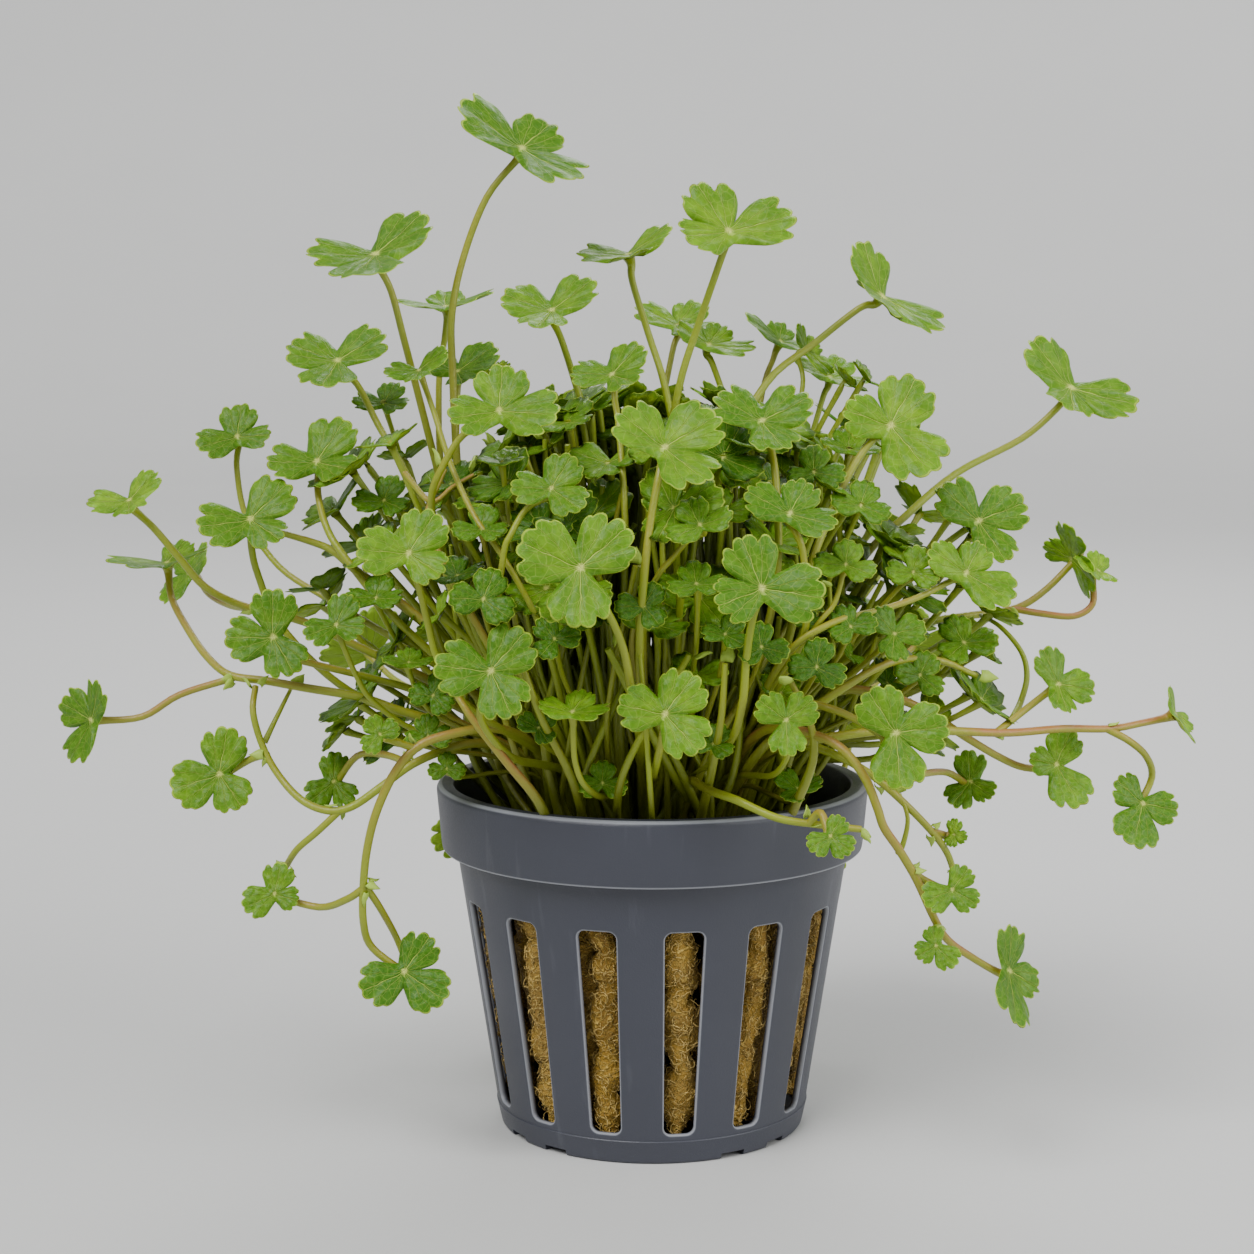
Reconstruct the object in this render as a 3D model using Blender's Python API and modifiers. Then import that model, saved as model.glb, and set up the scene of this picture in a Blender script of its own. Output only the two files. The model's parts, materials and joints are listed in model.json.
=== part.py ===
"""Potted hydrocotyle tripartita: a slotted net pot, its wool plug and the plant that grows in it.

Metres, +Z up. The origin is the centre of the pot's foot, and -Y is the side a viewer stands on.
"""
from collections import namedtuple
from math import atan2, ceil, cos, hypot, pi, radians, sin, sqrt

import bmesh
import bpy
from mathutils import Vector

MM = 0.001
SHARP = radians(40.0)

# Pot
POT_HEIGHT = 42.6 * MM
RIM_RADIUS = 26.5 * MM
RIM_FOOT_RADIUS = 25.85 * MM
RIM_FOOT_Z = 34.65 * MM
FOOT_RADIUS = 18.8 * MM
WALL_FLARE = 0.153
WALL = 0.9 * MM
LIP_ROUND = 0.4 * MM
COLLAR_TOP = 1.3 * MM
FLOOR = 1.4 * MM
POT_STEPS = 28
SLOTS = 14
SLOT_TURN = radians(8.95)
SLOT_BOTTOM = 3.7 * MM
SLOT_TOP = 28.9 * MM
SLOT_WIDTH_TOP = 4.65 * MM
SLOT_WIDTH_BOTTOM = 3.6 * MM
SLOT_CORNER = 0.7 * MM
NOTCH_PAIRS = 4
NOTCH_TURN = radians(41.0)
NOTCH_SPREAD = radians(10.7)
NOTCH_WIDTH = 3.2 * MM
NOTCH_HEIGHT = 0.75 * MM
NOTCH_DEPTH = 2.4 * MM
DRAIN_HOLES = 6
DRAIN_SIDES = 8
DRAIN_RADIUS = 1.8 * MM
DRAIN_CIRCLE = 9.5 * MM

# Wool plug
GAP = 0.3 * MM
WOOL_GAP = 0.35 * MM
WOOL_BOTTOM = FLOOR + GAP
WOOL_TOP = 38.0 * MM
WOOL_SIDES = 21
WOOL_RINGS = 7
WOOL_LUMP = 0.55 * MM
WOOL_STRANDS = 9
WOOL_CROSSINGS = 5
WOOL_CLIMB = 11.0
WOOL_SWAY = 2.4
WOOL_SWAY_RATE = 7.0

# Thicket of inner stems and small leaves: height and radius of its rings, in millimetres
THICKET_RINGS = (
    (38.5, 19.0), (42.5, 22.0), (47.0, 23.4), (53.0, 25.2), (60.0, 26.2),
    (67.0, 26.4), (73.5, 24.6), (79.0, 20.6), (83.5, 14.6), (86.5, 7.6))
THICKET_TOP = 87.6 * MM
THICKET_SIDES = 20
THICKET_DEPTH = 0.92
THICKET_LUMP = 0.8 * MM
THICKET_LUMP_TURNS = (5, 3)
THICKET_LUMP_CLIMB = (130.0, -90.0)
THICKET_NECK = 8.0 * MM

# Line of sight. Places on the plant are read, in millimetres, on an upright sheet that stands
# across it through the middle of the pot's mouth, and slid along it to their own depth.
EYE = Vector((-3.1, -300.0, 98.1)) * MM
EYE_PITCH = radians(6.95)
MOUTH = Vector((0.0, 0.0, POT_HEIGHT))
MOUTH_READING = 45.75
SHEET_RIGHT = Vector((1.0, 0.0, 0.0))
SHEET_UP = Vector((0.0, sin(EYE_PITCH), cos(EYE_PITCH)))
SHEET_TOWARD = Vector((0.0, -cos(EYE_PITCH), sin(EYE_PITCH)))

# Leaf: three wedge lobes round a hub, as parts of its radius
LOBES = 3
LOBE_POINTS = 5
LOBE_HALF_ANGLE = radians(54.0)
LOBE_LENGTHS = (0.72, 1.2)
LOBE_GAPS = (radians(84.0), radians(150.0))
LOBE_TRIES = 4
NOTCH_REACH = 0.34
BASE_NOTCH_REACH = 0.22
LOBE_SHOULDER = 5.0
LOBE_DIP = 0.08
LOBE_DIPS = 1.5
LOBE_CROWD = 0.42
LEAF_CUP_FACING = 0.07
LEAF_CUP_TIPPED = 0.27
LEAF_CUP_CURVE = 1.2
LEAF_THICKNESS = 0.55 * MM
HUB_DROP = 1.2 * MM
PETIOLE_RADIUS = 0.62 * MM
PETIOLE_HUB_RADIUS = 0.5 * MM
STEM_RADIUS = 0.95 * MM
STEM_TIP_RADIUS = 0.7 * MM
STALK_STEP = 5.2 * MM
STEM_STEP = 6.6 * MM
CURVE_SPANS = 2
SEARCH_STEP = 0.25 * MM
WELD = 0.001 * MM
CROWN_RADIUS = 15.0 * MM
CROWN_Z = 43.0 * MM

# A leaf's hub is (right, up, toward the viewer) and its radius is as read on the sheet. It is tipped
# from facing the viewer by tip towards the direction tip_to, and its middle lobe points along mid,
# in degrees. Its stalk's route starts below the hub and then runs down to the crown. Its lobes, where
# given, are the direction that each is seen to point in and its length as part of the radius, in
# their order round the leaf.
Leaf = namedtuple("Leaf", "hub radius tip tip_to mid route lobes")


def leaf(hub, radius, tip, tip_to, mid, route=(), lobes=None):
    return Leaf(hub, radius, tip, tip_to, mid, route, lobes)


LEAVES = {
    "leaf_tall": leaf((-16.1, 123.4, 2), 8.4, 50, 64, 63,
                      [(-20.4, 117.5, 2), (-23.3, 110, 2), (-24.7, 103, 3), (-24.6, 96, 4)],
                      lobes=[(146, 1.1), (51, 0.68), (-28, 1)]),
    "leaf_top_left": leaf((-34.1, 110.3, 8), 8.7, 52, 100, 182,
                          [(-32.2, 106, 7), (-30.6, 100, 6), (-29.3, 95, 4)],
                          lobes=[(178, 0.98), (46, 0.95), (-112, 0.53)]),
    "leaf_top_middle": leaf((-12.4, 103.4, 10), 6.9, 50, 95, 170,
                            [(-11.2, 100, 8), (-9.6, 95, 6), (-8.6, 91, 6)],
                            lobes=[(158, 0.96), (38, 0.96), (-120, 0.46)]),
    "leaf_top_right": leaf((9.5, 113.2, 12), 8.7, 40, 78, 112,
                           [(8, 108.5, 10), (5.6, 101.5, 8), (3.3, 94, 8)],
                           lobes=[(190, 0.68), (122, 0.88), (15, 0.97)]),
    "leaf_right_high": leaf((28.2, 105.2, 1), 8.6, 58, 48, 124,
                            [(25.5, 103.8, 1), (20, 99.5, 2), (14, 94.5, 5)],
                            lobes=[(125, 0.88), (-28, 1.02), (-75, 0.4)]),
    "leaf_far_right_high": leaf((51.5, 93.9, -12), 8.6, 46, 60, 118,
                                [(50, 91.6, -12), (45.6, 87.8, -11), (37.5, 83.5, -8), (31, 78, -4),
                                 (27, 74.2, 0)], lobes=[(130, 0.93), (-15, 1), (-70, 0.38)]),
    "leaf_back_middle": leaf((-2.9, 110.3, -2), 6.9, 64, 108, 110,
                             [(-2.4, 107, -2), (-0.4, 100.5, -2), (1.6, 94, 0)],
                             lobes=[(184, 0.93), (38, 0.95), (-70, 0.15)]),
    "leaf_left_high": leaf((-38.8, 97.2, -6), 7.5, 46, 95, 165,
                           [(-36.4, 94.5, -6), (-33.8, 89.5, -4), (-30.8, 84.3, 0)],
                           lobes=[(158, 0.88), (36, 0.92), (-108, 0.5)]),
    "leaf_left_inner": leaf((-28.7, 96.0, 12), 4.8, 55, 110, 100,
                            [(-26.9, 91, 13), (-24.8, 84.5, 18), (-21.8, 78, 23), (-18.8, 73.8, 25)],
                            lobes=[(180, 0.92), (42, 0.95), (-110, 0.22)]),
    "leaf_back_left_low": leaf((-24.0, 95.9, -5), 5.5, 50, 100, 60, [(-24, 93, -5)],
                               lobes=[(150, 0.8), (40, 1.1), (-60, 0.3)]),
    "leaf_back_left": leaf((-25.4, 103.9, -16), 6.3, 70, 95, 95, [(-25.6, 100, -16), (-26.3, 94, -16)],
                           lobes=[(176, 0.9), (100, 0.4), (15, 0.95)]),
    "leaf_middle_high": leaf((-4.9, 95.5, 15), 6.4, 50, 108, 60, [(-4.6, 92.5, 15), (-4.1, 89, 17)],
                             lobes=[(172, 0.84), (52, 0.86), (-22, 0.48)]),
    "leaf_back_high": leaf((3.2, 101.6, -16), 5.6, 58, 92, 90, [(2.4, 98, -15)],
                           lobes=[(148, 1.05), (60, 0.8), (-20, 0.6)]),
    "leaf_back_right": leaf((7.0, 99.2, -6), 6.2, 56, 75, 60, [(7.8, 96, -6)],
                            lobes=[(130, 0.75), (60, 0.6), (-5, 0.93)]),
    "leaf_right_back": leaf((15.8, 99.6, -8), 5.0, 62, 62, 150, [(14.9, 97.5, -8), (13.6, 93.5, -6)],
                            lobes=[(148, 1.05), (85, 0.5), (-10, 0.7)]),
    "leaf_young_right": leaf((18.9, 98.6, -3.5), 4.1, 60, 30, 95, [(18.6, 95, -3), (18, 90, 0)],
                             lobes=[(95, 0.85), (35, 0.6), (-22, 1)]),
    "leaf_right_behind": leaf((21.9, 95.2, -10), 5.2, 62, 78, 60, [(20.8, 92, -10)]),
    "leaf_upper_left": leaf((-18.8, 91.1, 23), 7.3, 34, 90, 100,
                            [(-23.2, 88.3, 21), (-26, 84, 21), (-27.2, 80.5, 20), (-26.6, 76, 18)],
                            lobes=[(188, 0.86), (88, 0.86), (-5, 1.02)]),
    "leaf_upper_middle": leaf((1.5, 86.5, 28), 8.0, 36, 80, 45,
                              [(0.9, 83.5, 29), (-0.2, 77.5, 30), (-1, 70.6, 31)],
                              lobes=[(140, 0.92), (32, 1), (-38, 0.86)]),
    "leaf_upper_right": leaf((13.5, 89.8, 20), 7.2, 42, 85, 50, [(14.6, 86.6, 20), (15.3, 82, 22)],
                             lobes=[(146, 0.95), (26, 0.95), (-55, 0.62)]),
    "leaf_right_upper": leaf((29.4, 89.2, 12), 8.3, 26, 85, 62,
                             [(27, 87.4, 12), (24.4, 83.6, 14), (22.2, 79, 18)],
                             lobes=[(158, 0.76), (62, 0.88), (-52, 0.92)]),
    "leaf_left_upper": leaf((-41.3, 84.8, 5), 7.0, 42, 95, 80,
                            [(-41.2, 81, 5), (-40.2, 77, 8), (-38.2, 73.6, 10)],
                            lobes=[(178, 0.88), (60, 0.92), (-12, 0.7)]),
    "leaf_left_outer": leaf((-51.1, 87.9, -16), 5.6, 38, 90, 80,
                            [(-51.2, 84, -16), (-50, 78, -15), (-46, 72, -12), (-40, 68, -8)],
                            lobes=[(194, 0.86), (88, 0.8), (5, 0.76)]),
    "leaf_left_middle": leaf((-49.5, 77.7, 10), 7.1, 30, 80, 60,
                             [(-49.4, 74.4, 9), (-48.6, 71, 8), (-46, 65, 8), (-40, 58.6, 8)],
                             lobes=[(190, 0.88), (48, 0.93), (-30, 0.62)]),
    "leaf_front_left": leaf((-30.0, 73.5, 28), 6.9, 24, 80, 65,
                            [(-28.9, 70, 26), (-27.7, 65.2, 25), (-26.4, 60.5, 25)],
                            lobes=[(174, 0.94), (58, 0.9), (-32, 0.74)]),
    "leaf_front_middle": leaf((-8.9, 71.7, 36), 8.6, 16, 80, 40,
                              [(-5.6, 66.6, 33), (-3.6, 62, 32), (-2.7, 57.5, 31)],
                              lobes=[(155, 0.97), (42, 0.94), (-88, 0.86)]),
    "leaf_front_right": leaf((13.6, 69.2, 36), 8.2, 16, 80, 105,
                             [(12.3, 65.2, 33), (11.6, 60.5, 31), (11.2, 55.5, 30)],
                             lobes=[(200, 0.76), (112, 0.86), (-8, 0.95)]),
    "leaf_inner_upper": leaf((-12.4, 81.5, 27), 5.6, 30, 90, 50,
                             [(-15.4, 79.2, 26), (-17.4, 76, 27), (-18.3, 73.5, 27)],
                             lobes=[(175, 0.92), (60, 0.9), (-35, 0.84)]),
    "leaf_inner_right": leaf((17.0, 78.4, 27), 6.7, 40, 85, 60, [(17.8, 76, 27), (18.7, 73, 27)],
                             lobes=[(150, 0.95), (62, 0.76), (-14, 0.86)]),
    "leaf_low_left": leaf((-19.9, 59.0, 32), 7.3, 14, 90, 50,
                          [(-20.6, 56.4, 30), (-21.2, 53.5, 28), (-19.5, 50.5, 26)],
                          lobes=[(172, 0.98), (50, 0.94), (-62, 0.86)]),
    "leaf_low_middle": leaf((1.6, 53.7, 34), 7.2, 16, 85, 50, [(1.2, 50.8, 32), (0.6, 48, 29)],
                            lobes=[(166, 0.85), (54, 0.88), (-46, 0.86)]),
    "leaf_low_right": leaf((30.0, 51.4, 30), 7.3, 14, 80, 115,
                           [(29.6, 49.6, 28), (27.4, 51.8, 27), (22.8, 54.2, 26)],
                           lobes=[(122, 0.88), (8, 0.92), (-86, 0.94)]),
    "leaf_low_right_small": leaf((16.5, 53.0, 31), 5.0, 14, 80, 130,
                                 [(16.9, 50.4, 29), (16.4, 48, 27)],
                                 lobes=[(142, 0.88), (36, 0.9), (-88, 0.88)]),
    "leaf_low_edge_on": leaf((-9.8, 53.9, 30), 5.3, 60, 92, 95,
                             [(-9.7, 51, 29), (-9.5, 48, 28), (-8.6, 45.4, 27), (-7, 43.9, 24.5)],
                             lobes=[(165, 0.84), (55, 0.6), (5, 0.85)]),
    "leaf_right_outer": leaf((40.2, 77.5, 10), 7.1, 26, 62, 30,
                             [(38.4, 76.4, 8), (34.4, 73.4, 7), (30.8, 70.2, 7)],
                             lobes=[(134, 0.92), (22, 0.92), (-50, 0.84)]),
    "leaf_right_front": leaf((38.7, 71.1, 16), 6.2, 30, 70, 70,
                             [(36.8, 70.2, 15), (32.8, 68.2, 17), (28, 66.6, 21), (22.6, 65.2, 25)],
                             lobes=[(112, 0.9), (62, 0.72), (-30, 1.05)]),
    "leaf_left_lower": leaf((-46.7, 63.2, 16), 6.7, 14, 90, 100,
                            [(-45, 61, 14), (-41, 59.8, 12), (-36, 58.6, 10)],
                            lobes=[(178, 0.9), (92, 0.92), (-60, 0.8)]),
    "leaf_rear_top": leaf((-2, 86, -31), 7.6, 100, 90, 90, [(-2, 82, -29)]),
    "leaf_rear_left": leaf((-20, 80, -32), 7.2, 118, 112, 100, [(-19, 76, -30)]),
    "leaf_rear_right": leaf((19, 82, -30), 7.4, 116, 68, 80, [(18, 78, -28)]),
    "leaf_rear_middle": leaf((-8, 67, -42), 8.0, 134, 95, 70, [(-7, 62, -37), (-6, 57, -33)]),
    "leaf_rear_side": leaf((13, 64, -41), 7.6, 138, 80, 110, [(12, 60, -36), (10, 55, -32)]),
    "leaf_rear_low": leaf((2, 55, -37), 6.6, 142, 90, 60, [(2, 54.3, -33), (1, 54, -29)]),
    "leaf_left_small": leaf((-38.9, 64.7, 18), 4.7, 30, 90, 80,
                            [(-38, 62, 17), (-36.4, 58.4, 16), (-34.6, 55.6, 15)],
                            lobes=[(198, 0.86), (70, 0.88), (-8, 0.78)]),
}

# A shoot is a trailing stem grown as one piece with its side stems and leaves. Each run is a route,
# as readings, and the leaf that it ends in, if any; the first run is the main stem.
Run = namedtuple("Run", "route leaf")

SHOOTS = {
    "shoot_left": [
        Run([(-31, 54.2, 12), (-36, 55.9, 12), (-42.5, 57, 12), (-47.5, 57.9, 11), (-52, 58.6, 10),
             (-54.8, 60.8, 7),
             (-57.2, 64.2, 3), (-59.2, 68, -1)],
            leaf((-59.8, 72.3, -3), 6.3, 70, 95, 100, lobes=[(180, 1.02), (60, 0.55), (15, 0.85)])),
        Run([(-51.5, 58.3, 10), (-58.2, 56.2, 9), (-62.8, 53.5, 9)],
            leaf((-69.0, 53.1, 10), 6.0, 42, 172, 180, lobes=[(75, 0.82), (155, 0.86), (238, 1)])),
    ],
    "shoot_left_high": [
        Run([(-36, 62, 3), (-43, 65.2, 3), (-50, 67, 3), (-55, 69.4, 5), (-58.4, 73.2, 6),
             (-61.5, 76.8, 6)],
            leaf((-64.4, 80.0, 6), 5.8, 52, 110, 115, lobes=[(182, 0.9), (55, 0.86), (-70, 0.15)])),
        Run([(-49, 66.8, 3), (-52, 67.2, -3), (-54.6, 68.6, -9)],
            leaf((-57.0, 71.2, -13), 4.8, 50, 150, 60, lobes=[(225, 1.05), (130, 0.5), (35, 0.75)])),
    ],
    "shoot_lower_left": [
        Run([(-25.5, 49.4, 15), (-29.6, 47.6, 16.5), (-33.2, 45, 17.5), (-37, 42.4, 18),
             (-40, 41.9, 18), (-43.2, 43.2, 17), (-46, 46.2, 15), (-48, 49.8, 14), (-49.2, 54, 14.4)], None),
        Run([(-38.3, 42.1, 18), (-41.4, 39.2, 18), (-43.8, 37.1, 17), (-45.3, 34.8, 14)], None),
        Run([(-29.6, 47.6, 16.5), (-33, 48.8, 10), (-36.4, 48.6, 4)],
            leaf((-39.2, 45.4, 1), 4.3, 20, 90, 80, lobes=[(218, 0.9), (90, 0.9), (-48, 0.82)])),
        Run([(-47.4, 48.8, 14.2), (-49.6, 48.2, 12.5)],
            leaf((-53.3, 46.3, 14), 6.2, 12, 90, 90, lobes=[(196, 1), (82, 0.98), (-52, 0.8)])),
    ],
    "shoot_hanging_left": [
        Run([(-24.5, 51.4, 22), (-28.6, 50, 23), (-31.6, 46.8, 24), (-33.9, 42, 24),
             (-35.1, 37.4, 23), (-35.6, 32.8, 22), (-35.6, 28.2, 21), (-34.5, 25, 19)],
            leaf((-30.5, 22.0, 20), 6.3, 14, 90, 70, lobes=[(208, 0.92), (55, 0.88), (-32, 0.98)])),
        Run([(-35.6, 33, 22), (-33.6, 30, 20), (-31.6, 26.4, 16)], None),
        Run([(-29.4, 49.6, 23.2), (-31.6, 50.4, 24)], leaf((-33.5, 51.3, 27), 3.1, 14, 90, 50,
                                                           lobes=[(228, 0.92), (130, 0.86), (25, 0.84)])),
        Run([(-35.5, 32.4, 22), (-37.6, 31, 21), (-41, 30, 18)],
            leaf((-46.5, 31.6, 18), 4.0, 16, 90, 85, lobes=[(202, 1.04), (80, 1), (-15, 0.78)])),
    ],
    "shoot_right": [
        Run([(22.4, 51, 23), (26.6, 51.6, 22), (32, 51.9, 20), (37.5, 51.7, 18), (44, 51.5, 16),
             (50.5, 52, 13), (56.4, 52, 11), (60.4, 52.7, 9)],
            leaf((64.4, 53.8, 8), 4.7, 66, 25, 110, lobes=[(101, 0.78), (-20, 0.4), (-53, 1.03)])),
        Run([(56, 52, 11), (58.8, 50.5, 11), (60.9, 48.6, 9), (61.6, 46, 7)],
            leaf((60.4, 42.7, 9), 5.3, 26, 60, 20, lobes=[(142, 0.86), (-8, 0.88), (250, 1)])),
        Run([(42.5, 51.6, 16.5), (45.8, 54.2, 13)],
            leaf((50.0, 57.4, 12), 5.5, 34, 45, 20, lobes=[(112, 0.9), (-5, 0.92), (-56, 0.72)])),
    ],
    "shoot_right_high": [
        Run([(28, 62.6, -2), (32.5, 64.8, -4), (38, 65.8, -6), (44.6, 66.8, -8), (48.6, 69.2, -9)],
            leaf((51.8, 73.0, -10), 5.0, 62, 205, 115, lobes=[(135, 0.8), (105, 1.05), (-22, 1.1)])),
        Run([(44.4, 66.8, -8), (48, 66.2, -7), (52, 65.9, -7), (54.3, 67.4, -7)],
            leaf((54.9, 71.4, -7), 4.0, 58, 60, 80, lobes=[(75, 0.65), (-20, 0.3), (-60, 1.1)])),
    ],
    "shoot_hanging_right": [
        Run([(19.5, 51.4, 26), (23.2, 49.7, 28), (26.1, 46.2, 29.5), (27.7, 42.4, 30),
             (28.6, 39.8, 29.5), (30.5, 37, 28),
             (32.6, 33.4, 26.5), (34.7, 28.8, 25), (36.4, 26, 24), (39.6, 23.7, 22)],
            leaf((43.9, 22.1, 21), 6.4, 48, 22, 95, lobes=[(82, 0.9), (-28, 0.76), (-86, 1)])),
        Run([(35.4, 27.4, 24.8)], leaf((35.0, 25.2, 28), 3.4, 14, 90, 60,
                                       lobes=[(205, 0.84), (100, 0.76), (-45, 0.98)])),
        Run([(32, 34.4, 27), (33.8, 33.2, 25.6)],
            leaf((37.0, 32.1, 28), 4.1, 18, 80, 60, lobes=[(235, 0.92), (52, 0.86), (-14, 0.88)])),
    ],
    "shoot_rim_right": [
        Run([(7.6, 44.2, 25.5), (10.4, 43.2, 28.5), (15.4, 41, 30.5), (20.4, 40.2, 31),
             (25.8, 39.6, 31.6)], None),
        Run([(19.4, 40.4, 31), (20.8, 41.6, 32.4)],
            leaf((22.0, 38.7, 35.5), 3.7, 20, 90, 110, lobes=[(212, 0.86), (60, 0.8), (-35, 0.86)])),
    ],
    "shoot_right_low": [
        Run([(23, 48.6, 21), (27.2, 46.2, 22), (31, 42.9, 22), (34.4, 39.4, 21), (36.3, 36.8, 19),
             (37.2, 34.4, 17)], None),
        Run([(34.4, 39.4, 21), (35.6, 39, 19)],
            leaf((37.2, 38.9, 19.6), 2.4, 20, 90, 60, lobes=[(85, 0.86), (-12, 0.66), (240, 0.6)])),
        Run([(28, 45.6, 22), (33, 46.4, 15), (36.4, 46.6, 7)],
            leaf((39.2, 45.4, 3), 4.5, 26, 90, 80, lobes=[(90, 0.9), (-35, 0.7), (-115, 0.8)])),
    ],
    "shoot_rear_left": [
        Run([(-14, 54.5, -24), (-20, 55.5, -31), (-26, 56, -38), (-31, 57.6, -44)],
            leaf((-35, 61.5, -49), 6.6, 126, 122, 60)),
        Run([(-24, 56, -36), (-26, 52.5, -39), (-25, 46.5, -39)],
            leaf((-22, 40, -38), 5.6, 148, 150, 100)),
    ],
    "shoot_rear_right": [
        Run([(12, 53.5, -25), (18, 54, -32), (24, 55.6, -39), (28.5, 58.4, -44)],
            leaf((32, 62.5, -49), 6.6, 124, 62, 120)),
        Run([(23, 55.4, -37.6), (24.4, 51.5, -40), (23, 45, -39)],
            leaf((19.5, 38, -37), 5.4, 150, 30, 80)),
    ],
    "shoot_rear_hanging": [
        Run([(-9, 54, -22), (-11, 53.4, -29), (-12.5, 48.5, -34.5), (-13, 38, -35)],
            leaf((-12, 28, -34), 6.2, 160, 100, 80)),
        Run([(-11.8, 51.2, -32), (-8, 48, -37), (-3, 43, -38)],
            leaf((3, 38.5, -37.5), 4.8, 156, 40, 130)),
    ],
    "shoot_right_side": [
        Run([(27, 56.6, 12), (33, 54.6, 12), (38.6, 51.0, 11), (43, 48.4, 9), (46, 47.2, 8)],
            leaf((49.8, 47.5, 11), 5.1, 22, 70, 65, lobes=[(165, 0.65), (65, 0.93), (-60, 1.1)])),
    ],
}

# Colours: base colour, roughness
LOOKS = {
    "pot_plastic": ((0.093, 0.102, 0.124, 1.0), 0.42),
    "wool": ((0.36, 0.22, 0.07, 1.0), 0.95),
    "leaf": ((0.14, 0.27, 0.05, 1.0), 0.5),
    "stem": ((0.33, 0.34, 0.09, 1.0), 0.5),
}


def clear_scene():
    for item in list(bpy.data.objects):
        bpy.data.objects.remove(item, do_unlink=True)


def make_collection(name):
    made = bpy.data.collections.new(name)
    bpy.context.scene.collection.children.link(made)
    return made


def make_material(name):
    colour, roughness = LOOKS[name]
    material = bpy.data.materials.new(name)
    material.use_nodes = True
    shader = material.node_tree.nodes["Principled BSDF"]
    shader.inputs["Base Color"].default_value = colour
    shader.inputs["Roughness"].default_value = roughness
    shader.inputs["Metallic"].default_value = 0.0
    return material


def add_object(name, mesh, collection, material=None):
    made = bpy.data.objects.new(name, mesh)
    collection.objects.link(made)
    if material:
        mesh.materials.clear()
        mesh.materials.append(material)
    return made


def mesh_from(bm, name):
    bmesh.ops.recalc_face_normals(bm, faces=bm.faces)
    mesh = bpy.data.meshes.new(name)
    bm.to_mesh(mesh)
    bm.free()
    mesh.set_sharp_from_angle(angle=SHARP)
    return mesh


def as_cutter(tool):
    tool.hide_render = True
    tool.display_type = "WIRE"
    return tool


def combine(target, tool, operation):
    step = target.modifiers.new(f"{operation.title()} {tool.name}", "BOOLEAN")
    step.operation = operation
    step.object = tool
    step.solver = "EXACT"


def wall_radius(z):
    """Outer radius of the pot's wall at a height."""
    return FOOT_RADIUS + WALL_FLARE * z


def pot_profile():
    """Closed section of the pot, down its outside and back up its inside."""
    collar_z = POT_HEIGHT - COLLAR_TOP
    return (
        (RIM_RADIUS - LIP_ROUND, POT_HEIGHT),
        (RIM_RADIUS, POT_HEIGHT - LIP_ROUND),
        (RIM_FOOT_RADIUS, RIM_FOOT_Z),
        (RIM_FOOT_RADIUS - WALL, RIM_FOOT_Z),
        (wall_radius(collar_z) + GAP, collar_z),
        (wall_radius(collar_z), collar_z),
        (FOOT_RADIUS, LIP_ROUND),
        (FOOT_RADIUS - LIP_ROUND, 0.0),
        (0.0, 0.0),
        (0.0, FLOOR),
        (wall_radius(FLOOR) - WALL, FLOOR),
        (wall_radius(POT_HEIGHT) - WALL, POT_HEIGHT),
    )


def slot_cutter(index, collection):
    """A wedge-sided block with rounded corners that cuts one slot through the wall."""
    half_top = SLOT_WIDTH_TOP / 2
    half_bottom = SLOT_WIDTH_BOTTOM / 2
    corner = SLOT_CORNER
    outline = (
        (half_bottom - corner, SLOT_BOTTOM), (half_bottom, SLOT_BOTTOM + corner),
        (half_top, SLOT_TOP - corner), (half_top - corner, SLOT_TOP),
    )
    outline += tuple((-x, z) for x, z in reversed(outline))
    bm = bmesh.new()
    inner = FOOT_RADIUS / 2
    outer = RIM_RADIUS
    face = bm.faces.new([bm.verts.new((x, -inner, z)) for x, z in outline])
    push = bmesh.ops.extrude_face_region(bm, geom=[face])
    moved = [item for item in push["geom"] if isinstance(item, bmesh.types.BMVert)]
    bmesh.ops.translate(bm, verts=moved, vec=(0.0, inner - outer, 0.0))
    tool = add_object(f"slot_cutter_{index:02d}", mesh_from(bm, "slot_cutter"), collection)
    tool.rotation_euler.z = SLOT_TURN + index * 2 * pi / SLOTS
    return as_cutter(tool)


def notch_cutter(index, collection):
    """A small block that cuts one water gap into the foot's edge; the gaps stand in pairs."""
    bm = bmesh.new()
    bmesh.ops.create_cube(bm, size=1.0)
    bmesh.ops.scale(bm, verts=bm.verts, vec=(NOTCH_WIDTH, 2 * NOTCH_DEPTH, 2 * NOTCH_HEIGHT))
    bmesh.ops.translate(bm, verts=bm.verts, vec=(0.0, -FOOT_RADIUS, 0.0))
    tool = add_object(f"notch_cutter_{index:02d}", mesh_from(bm, "notch_cutter"), collection)
    side = NOTCH_SPREAD if index % 2 else -NOTCH_SPREAD
    tool.rotation_euler.z = NOTCH_TURN + side + index // 2 * 2 * pi / NOTCH_PAIRS
    return as_cutter(tool)


def drain_cutter(index, collection):
    bm = bmesh.new()
    bmesh.ops.create_cone(bm, cap_ends=True, segments=DRAIN_SIDES, radius1=DRAIN_RADIUS,
                          radius2=DRAIN_RADIUS, depth=4 * FLOOR)
    tool = add_object(f"drain_cutter_{index:02d}", mesh_from(bm, "drain_cutter"), collection)
    turn = index * 2 * pi / DRAIN_HOLES
    tool.location = (DRAIN_CIRCLE * cos(turn), DRAIN_CIRCLE * sin(turn), 0.0)
    return as_cutter(tool)


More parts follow.
